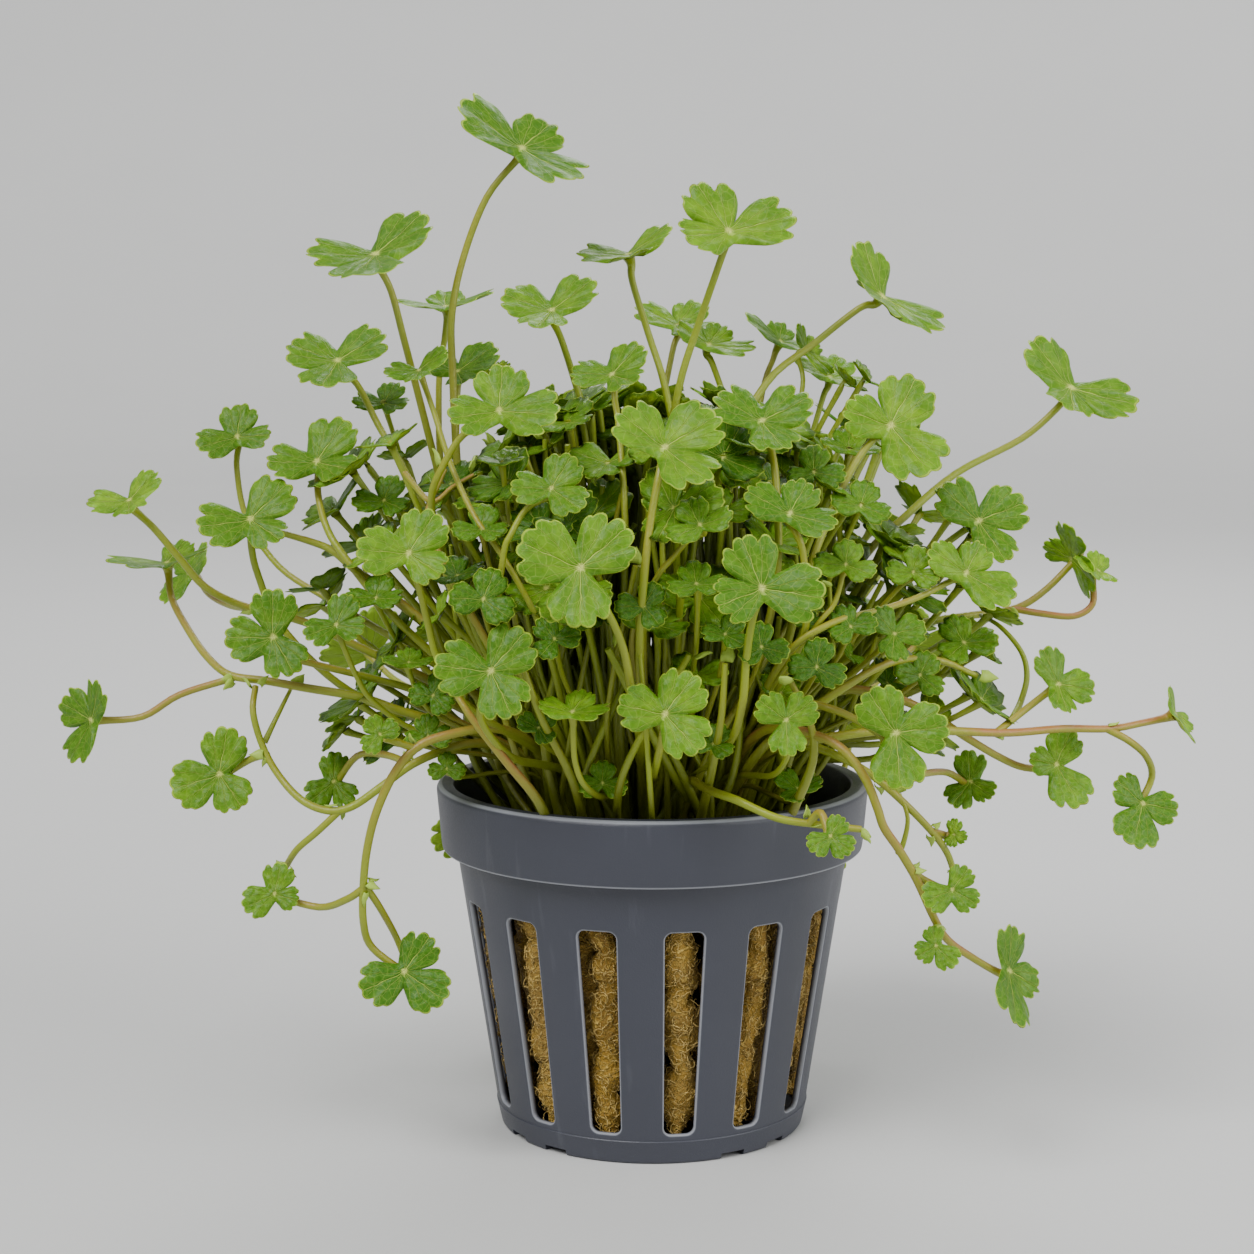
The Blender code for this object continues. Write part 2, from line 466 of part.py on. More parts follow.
def build_pot(collection, cutters, material):
    section = pot_profile()
    bm = bmesh.new()
    corners = [bm.verts.new((r, 0.0, z)) for r, z in section]
    for start, end in zip(corners, corners[1:] + corners[:1]):
        if start.co.x > 0.0 or end.co.x > 0.0:
            bm.edges.new((start, end))
    mesh = bpy.data.meshes.new("net_pot")
    bm.to_mesh(mesh)
    bm.free()
    pot = add_object("net_pot", mesh, collection, material)
    turn = pot.modifiers.new("Turn", "SCREW")
    turn.steps = POT_STEPS
    turn.render_steps = POT_STEPS
    turn.use_merge_vertices = True
    turn.merge_threshold = WELD
    turn.use_smooth_shade = True
    for index in range(SLOTS):
        combine(pot, slot_cutter(index, cutters), "DIFFERENCE")
        combine(pot, notch_cutter(index, cutters), "DIFFERENCE")
    for index in range(DRAIN_HOLES):
        combine(pot, drain_cutter(index, cutters), "DIFFERENCE")
    return pot


def ringed_column(sides, rings):
    """A capped round column of unit size, with rings of points from its foot to its top."""
    bm = bmesh.new()
    bmesh.ops.create_cone(bm, cap_ends=True, cap_tris=True, segments=sides, radius1=1.0, radius2=1.0,
                          depth=1.0)
    upright = [edge for edge in bm.edges if abs(edge.verts[0].co.z - edge.verts[1].co.z) > 0.5]
    bmesh.ops.subdivide_edges(bm, edges=upright, cuts=rings - 2)
    return bm


def build_wool(collection, material):
    """Plug of mineral wool: a column that swells and pinches like packed strands."""
    bm = ringed_column(WOOL_SIDES, WOOL_RINGS)
    for vert in bm.verts:
        rise = vert.co.z + 0.5
        z = WOOL_BOTTOM + rise * (WOOL_TOP - WOOL_BOTTOM)
        turn = atan2(vert.co.y, vert.co.x)
        strand = sin(WOOL_STRANDS * turn + WOOL_SWAY * sin(WOOL_SWAY_RATE * rise))
        lump = 0.5 + 0.5 * strand * cos(WOOL_CROSSINGS * turn - WOOL_CLIMB * rise)
        spread = hypot(vert.co.x, vert.co.y)
        radius = (wall_radius(z) - WALL - WOOL_GAP - 2 * WOOL_LUMP * lump) * spread
        vert.co = Vector((radius * cos(turn), radius * sin(turn), z))
    return add_object("wool_plug", mesh_from(bm, "wool_plug"), collection, material)


def thicket_radius(z, turn):
    """Reach of the inner thicket at a height and a turn about the pot's axis."""
    rings = [(height * MM, radius * MM) for height, radius in THICKET_RINGS] + [(THICKET_TOP, 0.0)]
    if z <= rings[0][0] or z >= THICKET_TOP:
        return 0.0
    for (low, near), (high, far) in zip(rings, rings[1:]):
        if z <= high:
            radius = near + (far - near) * (z - low) / (high - low)
            break
    waves = zip(THICKET_LUMP_TURNS, THICKET_LUMP_CLIMB)
    first, second = (count * turn + climb * z for count, climb in waves)
    lump = THICKET_LUMP * sin(first) * cos(second)
    flatten = hypot(cos(turn), sin(turn) / THICKET_DEPTH)
    free = min(1.0, max(0.0, (z - POT_HEIGHT) / THICKET_NECK))
    return (radius + lump * free) / (1.0 + (flatten - 1.0) * free)


def build_thicket(collection, material):
    """Dense heart of the plant, where its stems and small leaves crowd over the pot's mouth."""
    heights = [height * MM for height, radius in THICKET_RINGS]
    bm = ringed_column(THICKET_SIDES, len(heights))
    for vert in bm.verts:
        level = round((vert.co.z + 0.5) * (len(heights) - 1))
        z = heights[level]
        if hypot(vert.co.x, vert.co.y) < 0.5:
            vert.co = Vector((0.0, 0.0, THICKET_TOP if level else z))
            continue
        turn = atan2(vert.co.y, vert.co.x)
        radius = thicket_radius(max(z, heights[0] + WELD), turn)
        vert.co = Vector((radius * cos(turn), radius * sin(turn), z))
    return add_object("stem_thicket", mesh_from(bm, "stem_thicket"), collection, material)


def seen_at(reading):
    """Place of a reading (right, up, toward) on the sheet, and how much nearer than the sheet it is."""
    right, up, toward = reading
    on_sheet = MOUTH + SHEET_RIGHT * right * MM + SHEET_UP * (up - MOUTH_READING) * MM
    sight = on_sheet - EYE
    share = (-toward * MM - EYE.y) / sight.y
    return EYE + sight * share, share


def leaf_frame(spec):
    """Hub, unit axes (across, along the middle lobe, upper face) and real radius of a leaf."""
    hub, share = seen_at(spec.hub)
    tip = radians(spec.tip)
    lean = radians(spec.tip_to)
    face = (SHEET_RIGHT * cos(lean) + SHEET_UP * sin(lean)) * sin(tip) + SHEET_TOWARD * cos(tip)
    mid = radians(spec.mid)
    flat = SHEET_RIGHT * cos(mid) + SHEET_UP * sin(mid)
    along = flat - SHEET_TOWARD * (flat.dot(face) / face.dot(SHEET_TOWARD))
    along.normalize()
    across = along.cross(face)
    return hub, across, along, face, spec.radius * MM * share


def limited(value, limits):
    return min(max(value, limits[0]), limits[1])


def lobe_turns(spec, cup):
    """Turn from the middle axis and length of each lobe, worked back from how it is seen."""
    if not spec.lobes:
        return [((lobe - 1) * 2 * pi / LOBES, 1.0) for lobe in range(LOBES)]
    hub, across, along, face, radius = leaf_frame(spec)
    right_across, right_along = across.dot(SHEET_RIGHT), along.dot(SHEET_RIGHT)
    up_across, up_along = across.dot(SHEET_UP), along.dot(SHEET_UP)
    spread = right_across * up_along - right_along * up_across
    placed = []
    for direction, length in spec.lobes:
        reach = length
        for attempt in range(LOBE_TRIES):
            rise = cup * reach ** LEAF_CUP_CURVE
            right = length * cos(radians(direction)) - rise * face.dot(SHEET_RIGHT)
            up = length * sin(radians(direction)) - rise * face.dot(SHEET_UP)
            sideways = (right * up_along - up * right_along) / spread
            outwards = (up * right_across - right * up_across) / spread
            reach = limited(hypot(sideways, outwards), LOBE_LENGTHS)
        placed.append((atan2(-sideways, outwards), reach))
    first, middle, last = placed
    before = (middle[0] - first[0]) % (2 * pi)
    after = (last[0] - middle[0]) % (2 * pi)
    if before + after > 2 * pi:
        first, last = last, first
        before, after = 2 * pi - after, 2 * pi - before
    before, after = limited(before, LOBE_GAPS), limited(after, LOBE_GAPS)
    return [(middle[0] - before, first[1]), middle, (middle[0] + after, last[1])]


def lobe_edge(share, length):
    """Reach of a lobe's edge, as part of the leaf's radius; share runs from -1 to 1 across it."""
    shoulder = sqrt(1.0 - abs(share) ** LOBE_SHOULDER)
    wave = abs(share) * LOBE_DIPS
    dip = LOBE_DIP * (0.5 - 0.5 * cos(2 * pi * wave)) if wave < 1.0 else 0.0
    return NOTCH_REACH + (length - NOTCH_REACH) * shoulder - dip


def leaf_outline(lobes):
    """Angle from the middle axis and reach of each point round the leaf."""
    centres = [turn for turn, length in lobes]
    halves = [(centres[0] + 2 * pi - centres[-1]) / 2]
    halves += [(far - near) / 2 for near, far in zip(centres, centres[1:])]
    halves.append(halves[0])
    base = halves.index(max(halves))
    points = []
    for lobe, (centre, length) in enumerate(lobes):
        points.append((centre - halves[lobe], BASE_NOTCH_REACH if lobe == base else NOTCH_REACH))
        for step in range(1, LOBE_POINTS + 1):
            share = 2 * step / (LOBE_POINTS + 1) - 1
            crowd = share * (1.0 + LOBE_CROWD - LOBE_CROWD * abs(share))
            half = min(LOBE_HALF_ANGLE, halves[lobe if share < 0 else lobe + 1])
            points.append((centre + crowd * half, lobe_edge(crowd, length)))
    return points


def blade(spec, name, collection, material):
    """Leaf blade: a shallow cone whose rim is drawn out to the three lobes."""
    hub, across, along, face, radius = leaf_frame(spec)
    cup = LEAF_CUP_FACING + LEAF_CUP_TIPPED * sin(radians(spec.tip))
    outline = leaf_outline(lobe_turns(spec, cup))
    count = len(outline)
    bm = bmesh.new()
    bmesh.ops.create_cone(bm, cap_ends=True, cap_tris=True, segments=count, radius1=1.0, radius2=0.0,
                          depth=1.0)
    for vert in bm.verts:
        if hypot(vert.co.x, vert.co.y) < 0.5:
            vert.co = hub + face * LEAF_THICKNESS / 2 * (1.0 if vert.co.z > 0.0 else -1.0)
            continue
        index = round(atan2(vert.co.y, vert.co.x) / (2 * pi / count)) % count
        angle, reach = outline[index]
        spread = reach * radius
        rise = cup * radius * reach ** LEAF_CUP_CURVE
        vert.co = hub + across * spread * sin(-angle) + along * spread * cos(angle) + face * rise
    return add_object(name, mesh_from(bm, name), collection, material)


def smooth_route(points):
    """Points along a rounded curve through the given ones."""
    ends = [points[0] * 2 - points[1]] + list(points) + [points[-1] * 2 - points[-2]]
    path = []
    for before, start, end, after in zip(ends, ends[1:], ends[2:], ends[3:]):
        square = 2 * before - 5 * start + 4 * end - after
        cube = 3 * start - before - 3 * end + after
        for step in range(CURVE_SPANS):
            t = step / CURVE_SPANS
            path.append(0.5 * (2 * start + (end - before) * t + square * t ** 2 + cube * t ** 3))
    path.append(points[-1])
    return path


def clear_of_thicket(path, clearance):
    """The run of a stem, from its first point, that stays outside the thicket."""
    kept = []
    for start, end in zip(path, path[1:]):
        steps = max(1, ceil((end - start).length / SEARCH_STEP))
        for step in range(steps):
            spot = start.lerp(end, step / steps)
            turn = atan2(spot.y, spot.x)
            reach = max(thicket_radius(spot.z, turn), thicket_radius(spot.z - clearance, turn))
            if hypot(spot.x, spot.y) < reach + clearance:
                if step:
                    kept.append(start)
                    kept.append(spot)
                return kept
        kept.append(start)
    kept.append(path[-1])
    return kept


def thin_out(path, shortest):
    """Drops points that lie closer than the shortest step, and keeps both ends."""
    kept = [path[0]]
    for spot in path[1:-1]:
        if (spot - kept[-1]).length >= shortest and (spot - path[-1]).length >= shortest:
            kept.append(spot)
    kept.append(path[-1])
    return kept


def tube(name, path, radii, collection, material):
    """A round stem along a path, with a radius at each end, as a closed mesh."""
    curve = bpy.data.curves.new(name, "CURVE")
    curve.dimensions = "3D"
    curve.bevel_depth = 1.0
    curve.bevel_resolution = 0
    curve.use_fill_caps = True
    spline = curve.splines.new("POLY")
    spline.points.add(len(path) - 1)
    for index, spot in enumerate(path):
        share = index / (len(path) - 1)
        spline.points[index].co = (*spot, 1.0)
        spline.points[index].radius = radii[0] + (radii[1] - radii[0]) * share
    guide = add_object(name + "_curve", curve, collection)
    bpy.context.view_layer.update()
    ready = guide.evaluated_get(bpy.context.evaluated_depsgraph_get())
    mesh = bpy.data.meshes.new_from_object(ready)
    place = guide.matrix_world.copy()
    bpy.data.objects.remove(guide)
    bm = bmesh.new()
    bm.from_mesh(mesh)
    bmesh.ops.remove_doubles(bm, verts=bm.verts, dist=WELD)
    bmesh.ops.recalc_face_normals(bm, faces=bm.faces)
    bm.to_mesh(mesh)
    bm.free()
    mesh.shade_smooth()
    made = add_object(name, mesh, collection, material)
    made.matrix_world = place
    return made


def into_hub(spec):
    """The last two points of a stalk, which meets the blade squarely from below."""
    hub, across, along, face, radius = leaf_frame(spec)
    return [hub - face * HUB_DROP, hub]


def build_leaf(name, spec, collection, parts, materials):
    """A leaf with its stalk down to the thicket, grown as one piece."""
    below, hub = into_hub(spec)
    places = [hub, below] + [seen_at(reading)[0] for reading in spec.route]
    last = places[-1]
    spread = min(1.0, CROWN_RADIUS / hypot(last.x, last.y))
    places.append(Vector((last.x * spread, last.y * spread, CROWN_Z)))
    path = clear_of_thicket(smooth_route(places), PETIOLE_RADIUS + 2 * GAP)
    stalk = tube(name + "_stalk", thin_out(path, STALK_STEP), (PETIOLE_HUB_RADIUS, PETIOLE_RADIUS), parts,
                 materials["stem"])
    made = blade(spec, name, collection, materials["leaf"])
    combine(made, as_cutter(stalk), "UNION")
    return made


def build_shoot(name, runs, collection, parts, materials):
    """A trailing stem with its side stems and leaves, grown as one piece."""
    made = None
    for index, run in enumerate(runs):
        places = [seen_at(reading)[0] for reading in run.route]
        if run.leaf:
            places += into_hub(run.leaf)
        path = smooth_route(places)
        if index == 0:
            path = clear_of_thicket(path[::-1], STEM_RADIUS + 2 * GAP)[::-1]
        start = STEM_RADIUS if index == 0 else STEM_TIP_RADIUS
        end = PETIOLE_HUB_RADIUS if run.leaf else STEM_TIP_RADIUS
        stem = tube(name if made is None else f"{name}_stem_{index}", thin_out(path, STEM_STEP),
                    (start, end), parts if made else collection, materials["stem"])
        if made is None:
            made = stem
        else:
            combine(made, as_cutter(stem), "UNION")
        if run.leaf:
            tool = blade(run.leaf, f"{name}_blade_{index}", parts, materials["leaf"])
            combine(made, as_cutter(tool), "UNION")
    return made


def main():
    clear_scene()
    plant = make_collection("potted_hydrocotyle_tripartita")
    cutters = make_collection("cutters")
    materials = {name: make_material(name) for name in LOOKS}
    build_pot(plant, cutters, materials["pot_plastic"])
    build_wool(plant, materials["wool"])
    build_thicket(plant, materials["stem"])
    for name, spec in LEAVES.items():
        build_leaf(name, spec, plant, cutters, materials)
    for name, runs in SHOOTS.items():
        build_shoot(name, runs, plant, cutters, materials)


main()
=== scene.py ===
"""Dresses the potted hydrocotyle tripartita: the net pot, its wool plug, and the plant's stems and leaves.

Metres, +Z up. The origin is the centre of the pot's foot, and -Y is the side the camera stands on.
"""
import json
import random
from collections import namedtuple
from math import asin, atan2, cos, hypot, pi, radians, sin, sqrt

import bmesh
import bpy
from mathutils import Matrix, Vector, noise

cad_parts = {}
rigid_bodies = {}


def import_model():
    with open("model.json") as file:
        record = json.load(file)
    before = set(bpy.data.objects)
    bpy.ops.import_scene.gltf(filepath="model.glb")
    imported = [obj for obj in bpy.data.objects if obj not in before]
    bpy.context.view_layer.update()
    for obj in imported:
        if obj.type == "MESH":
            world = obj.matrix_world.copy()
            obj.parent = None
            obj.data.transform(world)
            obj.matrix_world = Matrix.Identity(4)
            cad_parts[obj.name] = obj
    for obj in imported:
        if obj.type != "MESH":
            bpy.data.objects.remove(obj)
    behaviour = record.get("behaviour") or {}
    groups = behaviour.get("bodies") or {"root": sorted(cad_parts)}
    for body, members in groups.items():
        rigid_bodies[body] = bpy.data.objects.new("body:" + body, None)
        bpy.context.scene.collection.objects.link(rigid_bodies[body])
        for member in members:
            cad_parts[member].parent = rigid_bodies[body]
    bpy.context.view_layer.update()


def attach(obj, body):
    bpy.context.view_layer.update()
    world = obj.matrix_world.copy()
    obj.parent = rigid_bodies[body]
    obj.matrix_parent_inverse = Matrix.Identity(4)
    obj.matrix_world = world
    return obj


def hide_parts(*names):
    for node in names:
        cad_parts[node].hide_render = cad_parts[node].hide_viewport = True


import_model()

bl_info = {
    "name": "Potted Hydrocotyle Tripartita",
    "version": (1, 0, 0),
    "blender": (4, 5, 0),
    "location": "View3D > Sidebar > Plant",
    "description": "Builds a hydrocotyle tripartita growing from mineral wool in a slotted net pot",
    "category": "Object",
}

MM = 0.001
IMAGE_SIDE = 1254

# Pot
POT_HEIGHT = 42.6 * MM
RIM_RADIUS = 26.5 * MM
RIM_FOOT_RADIUS = 25.85 * MM
RIM_FOOT_Z = 34.65 * MM
FOOT_RADIUS = 18.8 * MM
WALL_FLARE = 0.153
WALL = 0.9 * MM
COLLAR_TOP = 1.3 * MM
FLOOR = 1.4 * MM
GAP = 0.3 * MM
SLOTS = 14
SLOT_TURN = radians(8.95)
SLOT_BOTTOM = 3.7 * MM
SLOT_TOP = 28.9 * MM
SLOT_WIDTH_TOP = 4.65 * MM
SLOT_WIDTH_BOTTOM = 3.6 * MM
SLOT_CORNER = 0.9 * MM
SLOT_EDGE = 0.24 * MM
BAND_LOW = 2.95 * MM
FOOT_PROUD = 0.12 * MM
BAND_HIGH = 30.6 * MM
NOTCH_PAIRS = 4
NOTCH_TURN = radians(41.0)
NOTCH_SPREAD = radians(10.7)
NOTCH_WIDTH = 3.2 * MM
NOTCH_HEIGHT = 0.75 * MM
NOTCH_DEPTH = 2.4 * MM
DRAIN_HOLES = 6
DRAIN_RADIUS = 1.8 * MM
DRAIN_CIRCLE = 9.5 * MM
CORNER_STEPS = 3
ACROSS_STEPS = 12
UPRIGHT_STEPS = 16
WELD = 0.002 * MM

# Wool plug: strands of wads, one behind each slot and one, set deeper, behind each bar. Ranges of the
# wads' radius and length are in millimetres
WOOL_BOTTOM = FLOOR + GAP
WOOL_TOP = 38.0 * MM
WOOL_CLEAR = WALL + 0.4 * MM
STRAND_STEPS = 72
WAD_RADIUS = (2.1, 2.55)
WAD_LENGTH = (6.0, 8.6)
WAD_WAIST = 0.48
BAR_DEPTH = 1.6 * MM
CORE_DEPTH = 4.4 * MM
FIBRE_LAYERS = 2

# Heart of the plant, where its stems and small leaves crowd over the pot's mouth
HEART_LOW = 38.5 * MM
HEART_HIGH = 90.0 * MM
HEART_MIDDLE = HEART_LOW + 0.52 * (HEART_HIGH - HEART_LOW)
HEART_RADIUS = 30.0 * MM

# Flanks: the small leaves beyond the heart, fanned to the right and left and a little backward
FLANK_TURNS = (radians(-20.0), radians(48.0))
FLANK_HEIGHTS = (47.0 * MM, 92.0 * MM)
FLANK_REACH = (28.0 * MM, 42.0 * MM)
FLANK_MIDDLE = 64.0 * MM
FLANK_HALF = 44.0 * MM

# The leaves on the heart's top: one small leaf in so many, how far out they spread, as the square of a
# part of its radius, how deep under the dome they lie, in millimetres, and out to where they lie level
TOP_PART = 5
TOP_SPREAD = 0.75
TOP_DEPTH = (2.0, 15.0)
TOP_LEVEL = 18 * MM

# The other small leaves of the heart: the climb up to which those in front keep back, their reach as
# part of the dome's radius, in front and elsewhere, their radii in millimetres, and their stalks' radii
# at the top and foot and under the blade
FRONT_CLIMB = 0.55
FRONT_SHARE = (0.60, 0.98)
SIDE_SHARE = (0.72, 1.08)
FRONT_LEAF = (2.2, 3.8)
INNER_LEAF = (3.0, 6.0)
INNER_STALK = (0.36 * MM, 0.58 * MM, 0.35 * MM)

# Bare stems: ranges of their feet's distance from the axis, their tips' height and their radius, in
# millimetres, their tips' reach as part of the dome's radius, and how far they bend, in millimetres.
# One in so many ends in a scale
BARE_FOOT = (3.0, 18.5)
BARE_HEIGHT = (56.0, 86.0)
BARE_RADIUS = (0.35, 0.62)
BARE_SHARE = (0.55, 0.98)
BARE_BEND = 3.0
SCALED_PART = 3

# Studio: flat floor out to where it starts to sweep up, the bend's radius, and the lights
SWEEP_START = 1.4
SWEEP_BEND = 1.2
SWEEP_STEPS = 12
KEY_AIM = Vector((0.38, 0.52, -0.78))
KEY_SPREAD = radians(38.0)
FILL_PLACE = (0.55, -0.30, 0.35)
BACK_PLACE = (0.10, 0.55, 0.55)
LIT_PLACE = Vector((0.0, 0.0, 0.06))
SURROUND = (0.95, 0.97, 1.0, 1.0)

# Line of sight. Places on the plant are read, in millimetres, on an upright sheet that stands
# across it through the middle of the pot's mouth, and slid along it to their own depth.
EYE = Vector((-3.1, -300.0, 98.1)) * MM
EYE_PITCH = radians(6.95)
EYE_FOCAL = 2470.0
SENSOR = 36.0
MOUTH = Vector((0.0, 0.0, POT_HEIGHT))
MOUTH_READING = 45.75
SHEET_RIGHT = Vector((1.0, 0.0, 0.0))
SHEET_UP = Vector((0.0, sin(EYE_PITCH), cos(EYE_PITCH)))
SHEET_TOWARD = Vector((0.0, -cos(EYE_PITCH), sin(EYE_PITCH)))

# Leaf: three wedge lobes round a hub, as parts of its radius
LOBES = 3
LOBE_TURN = 2 * pi / LOBES
SUB_LOBES = 3
TEETH = 2
NOTCH_REACH = 0.35
BASE_NOTCH_REACH = 0.21
CUP_FACING = 0.07
CUP_TIPPED = 0.27
CUP_CURVE = 1.2
LOBE_HALF_ANGLE = radians(52.0)
LOBE_LENGTHS = (0.72, 1.2)
LOBE_GAPS = (radians(84.0), radians(150.0))
LOBE_TRIES = 4
HUB_DROP = 1.2 * MM
HUB_SINK = 0.05 * MM
STALK_TOP = 0.85
SIDE_STEM = 0.72
BARE_TIP = 0.62
CROWN_RADIUS = 15.0 * MM
CROWN_Z = 43.0 * MM
ROOT_Z = 37.0 * MM

# Base of the curves that ease off with distance
EASE_OFF = 2.718

# Steps round each tooth of a blade's edge and rings from its hub to its edge, by how near it is seen
BLADE_DETAIL = {
    "full": (7, (0.10, 0.24, 0.40, 0.56, 0.71, 0.84, 0.945, 1.0)),
    "small": (4, (0.15, 0.38, 0.62, 0.84, 1.0)),
    "inner": (3, (0.25, 0.65, 1.0)),
}

# Finishes, as colours in linear light, and where some of them begin and end
OUTER_GREEN = (0.140, 0.370, 0.002)
PATCH_GREEN = (0.030, 0.120, 0.006)
GRAIN_GREEN = (0.260, 0.460, 0.040)
QUILT_SHADE_GREEN = (0.030, 0.120, 0.003)
HUB_PALE = (0.66, 0.74, 0.16)
MARGIN = (0.955, 0.980)
MARGIN_PALE = (0.480, 0.660, 0.060)
UNDER_DEEP = (0.130, 0.270, 0.020)
UNDER_FRESH = (0.400, 0.560, 0.012)
LEAF_SHADE = (0.006, 0.018, 0.001)
STEM_GRAIN = (0.27, 0.33, 0.03)
STEM_FOOT_SHADE = (0.070, 0.070, 0.004)
FOOT_SHADE_SPREAD = (25 * MM, 30 * MM)
FOOT_SHADE_RISE = (60 * MM, 38 * MM)
STEM_SHADE = (0.010, 0.016, 0.001)
HEART_SHADE = (0.92, 0.50)
HEART_STRENGTH = 0.75
WOOL_DARK = (0.190, 0.095, 0.002)
WOOL_LIT = (0.80, 0.55, 0.12)
WOOL_LOOSE = (1.0, 0.74, 0.26)
WOOL_GAP_SHADE = (0.012, 0.006, 0.001)
WOOL_SHADE_DEPTHS = (FOOT_RADIUS - 5.4 * MM, FOOT_RADIUS - 3.2 * MM)
FLOW_GREY = (0.15, 0.16, 0.19)
EDGE_HIGHLIGHT_GREY = (0.50, 0.52, 0.57)

# Veins of half a lobe, as parts of the leaf's radius: where each starts along and beside the
# middle vein, its direction in degrees, its half-width and how plainly it shows
VEINS = (
    (0.0, 0.0, 0.0, 0.021, 1.0), (0.0, 0.0, 24.0, 0.013, 0.6), (0.0, 0.0, 47.0, 0.012, 0.5),
    (0.44, 0.0, 19.0, 0.011, 0.75), (0.66, 0.0, 27.0, 0.009, 0.6), (0.40, 0.178, 42.0, 0.009, 0.45),
    (0.62, 0.276, 12.0, 0.008, 0.45),
)
VEIN_REACH = 0.97
VEIN_TAPER = 0.6
NET_SCALE = 13.0
QUILT_SCALE = 9.0

# A leaf's hub is (right, up, toward the viewer) and its radius is as read on the sheet. It is tipped
# from facing the viewer by tip towards the direction tip_to, and its middle lobe points along mid,
# in degrees. Its stalk's route starts below the hub. Its tone is 0 on a deep green leaf and 1 on a
# young yellow-green one. Its lobes, where given, are the direction that each is seen to point in and
# its length as part of the radius, in their order round the leaf.
# Low tones on the lower and hanging leaves are partly painted shade, darkening leaves that little light
# reaches.
Leaf = namedtuple("Leaf", "hub radius tip tip_to mid route tone lobes cup")


def leaf(hub, radius, tip, tip_to, mid, route=(), tone=0.35, lobes=None, cup=None):
    return Leaf(hub, radius, tip, tip_to, mid, route, tone, lobes, cup)


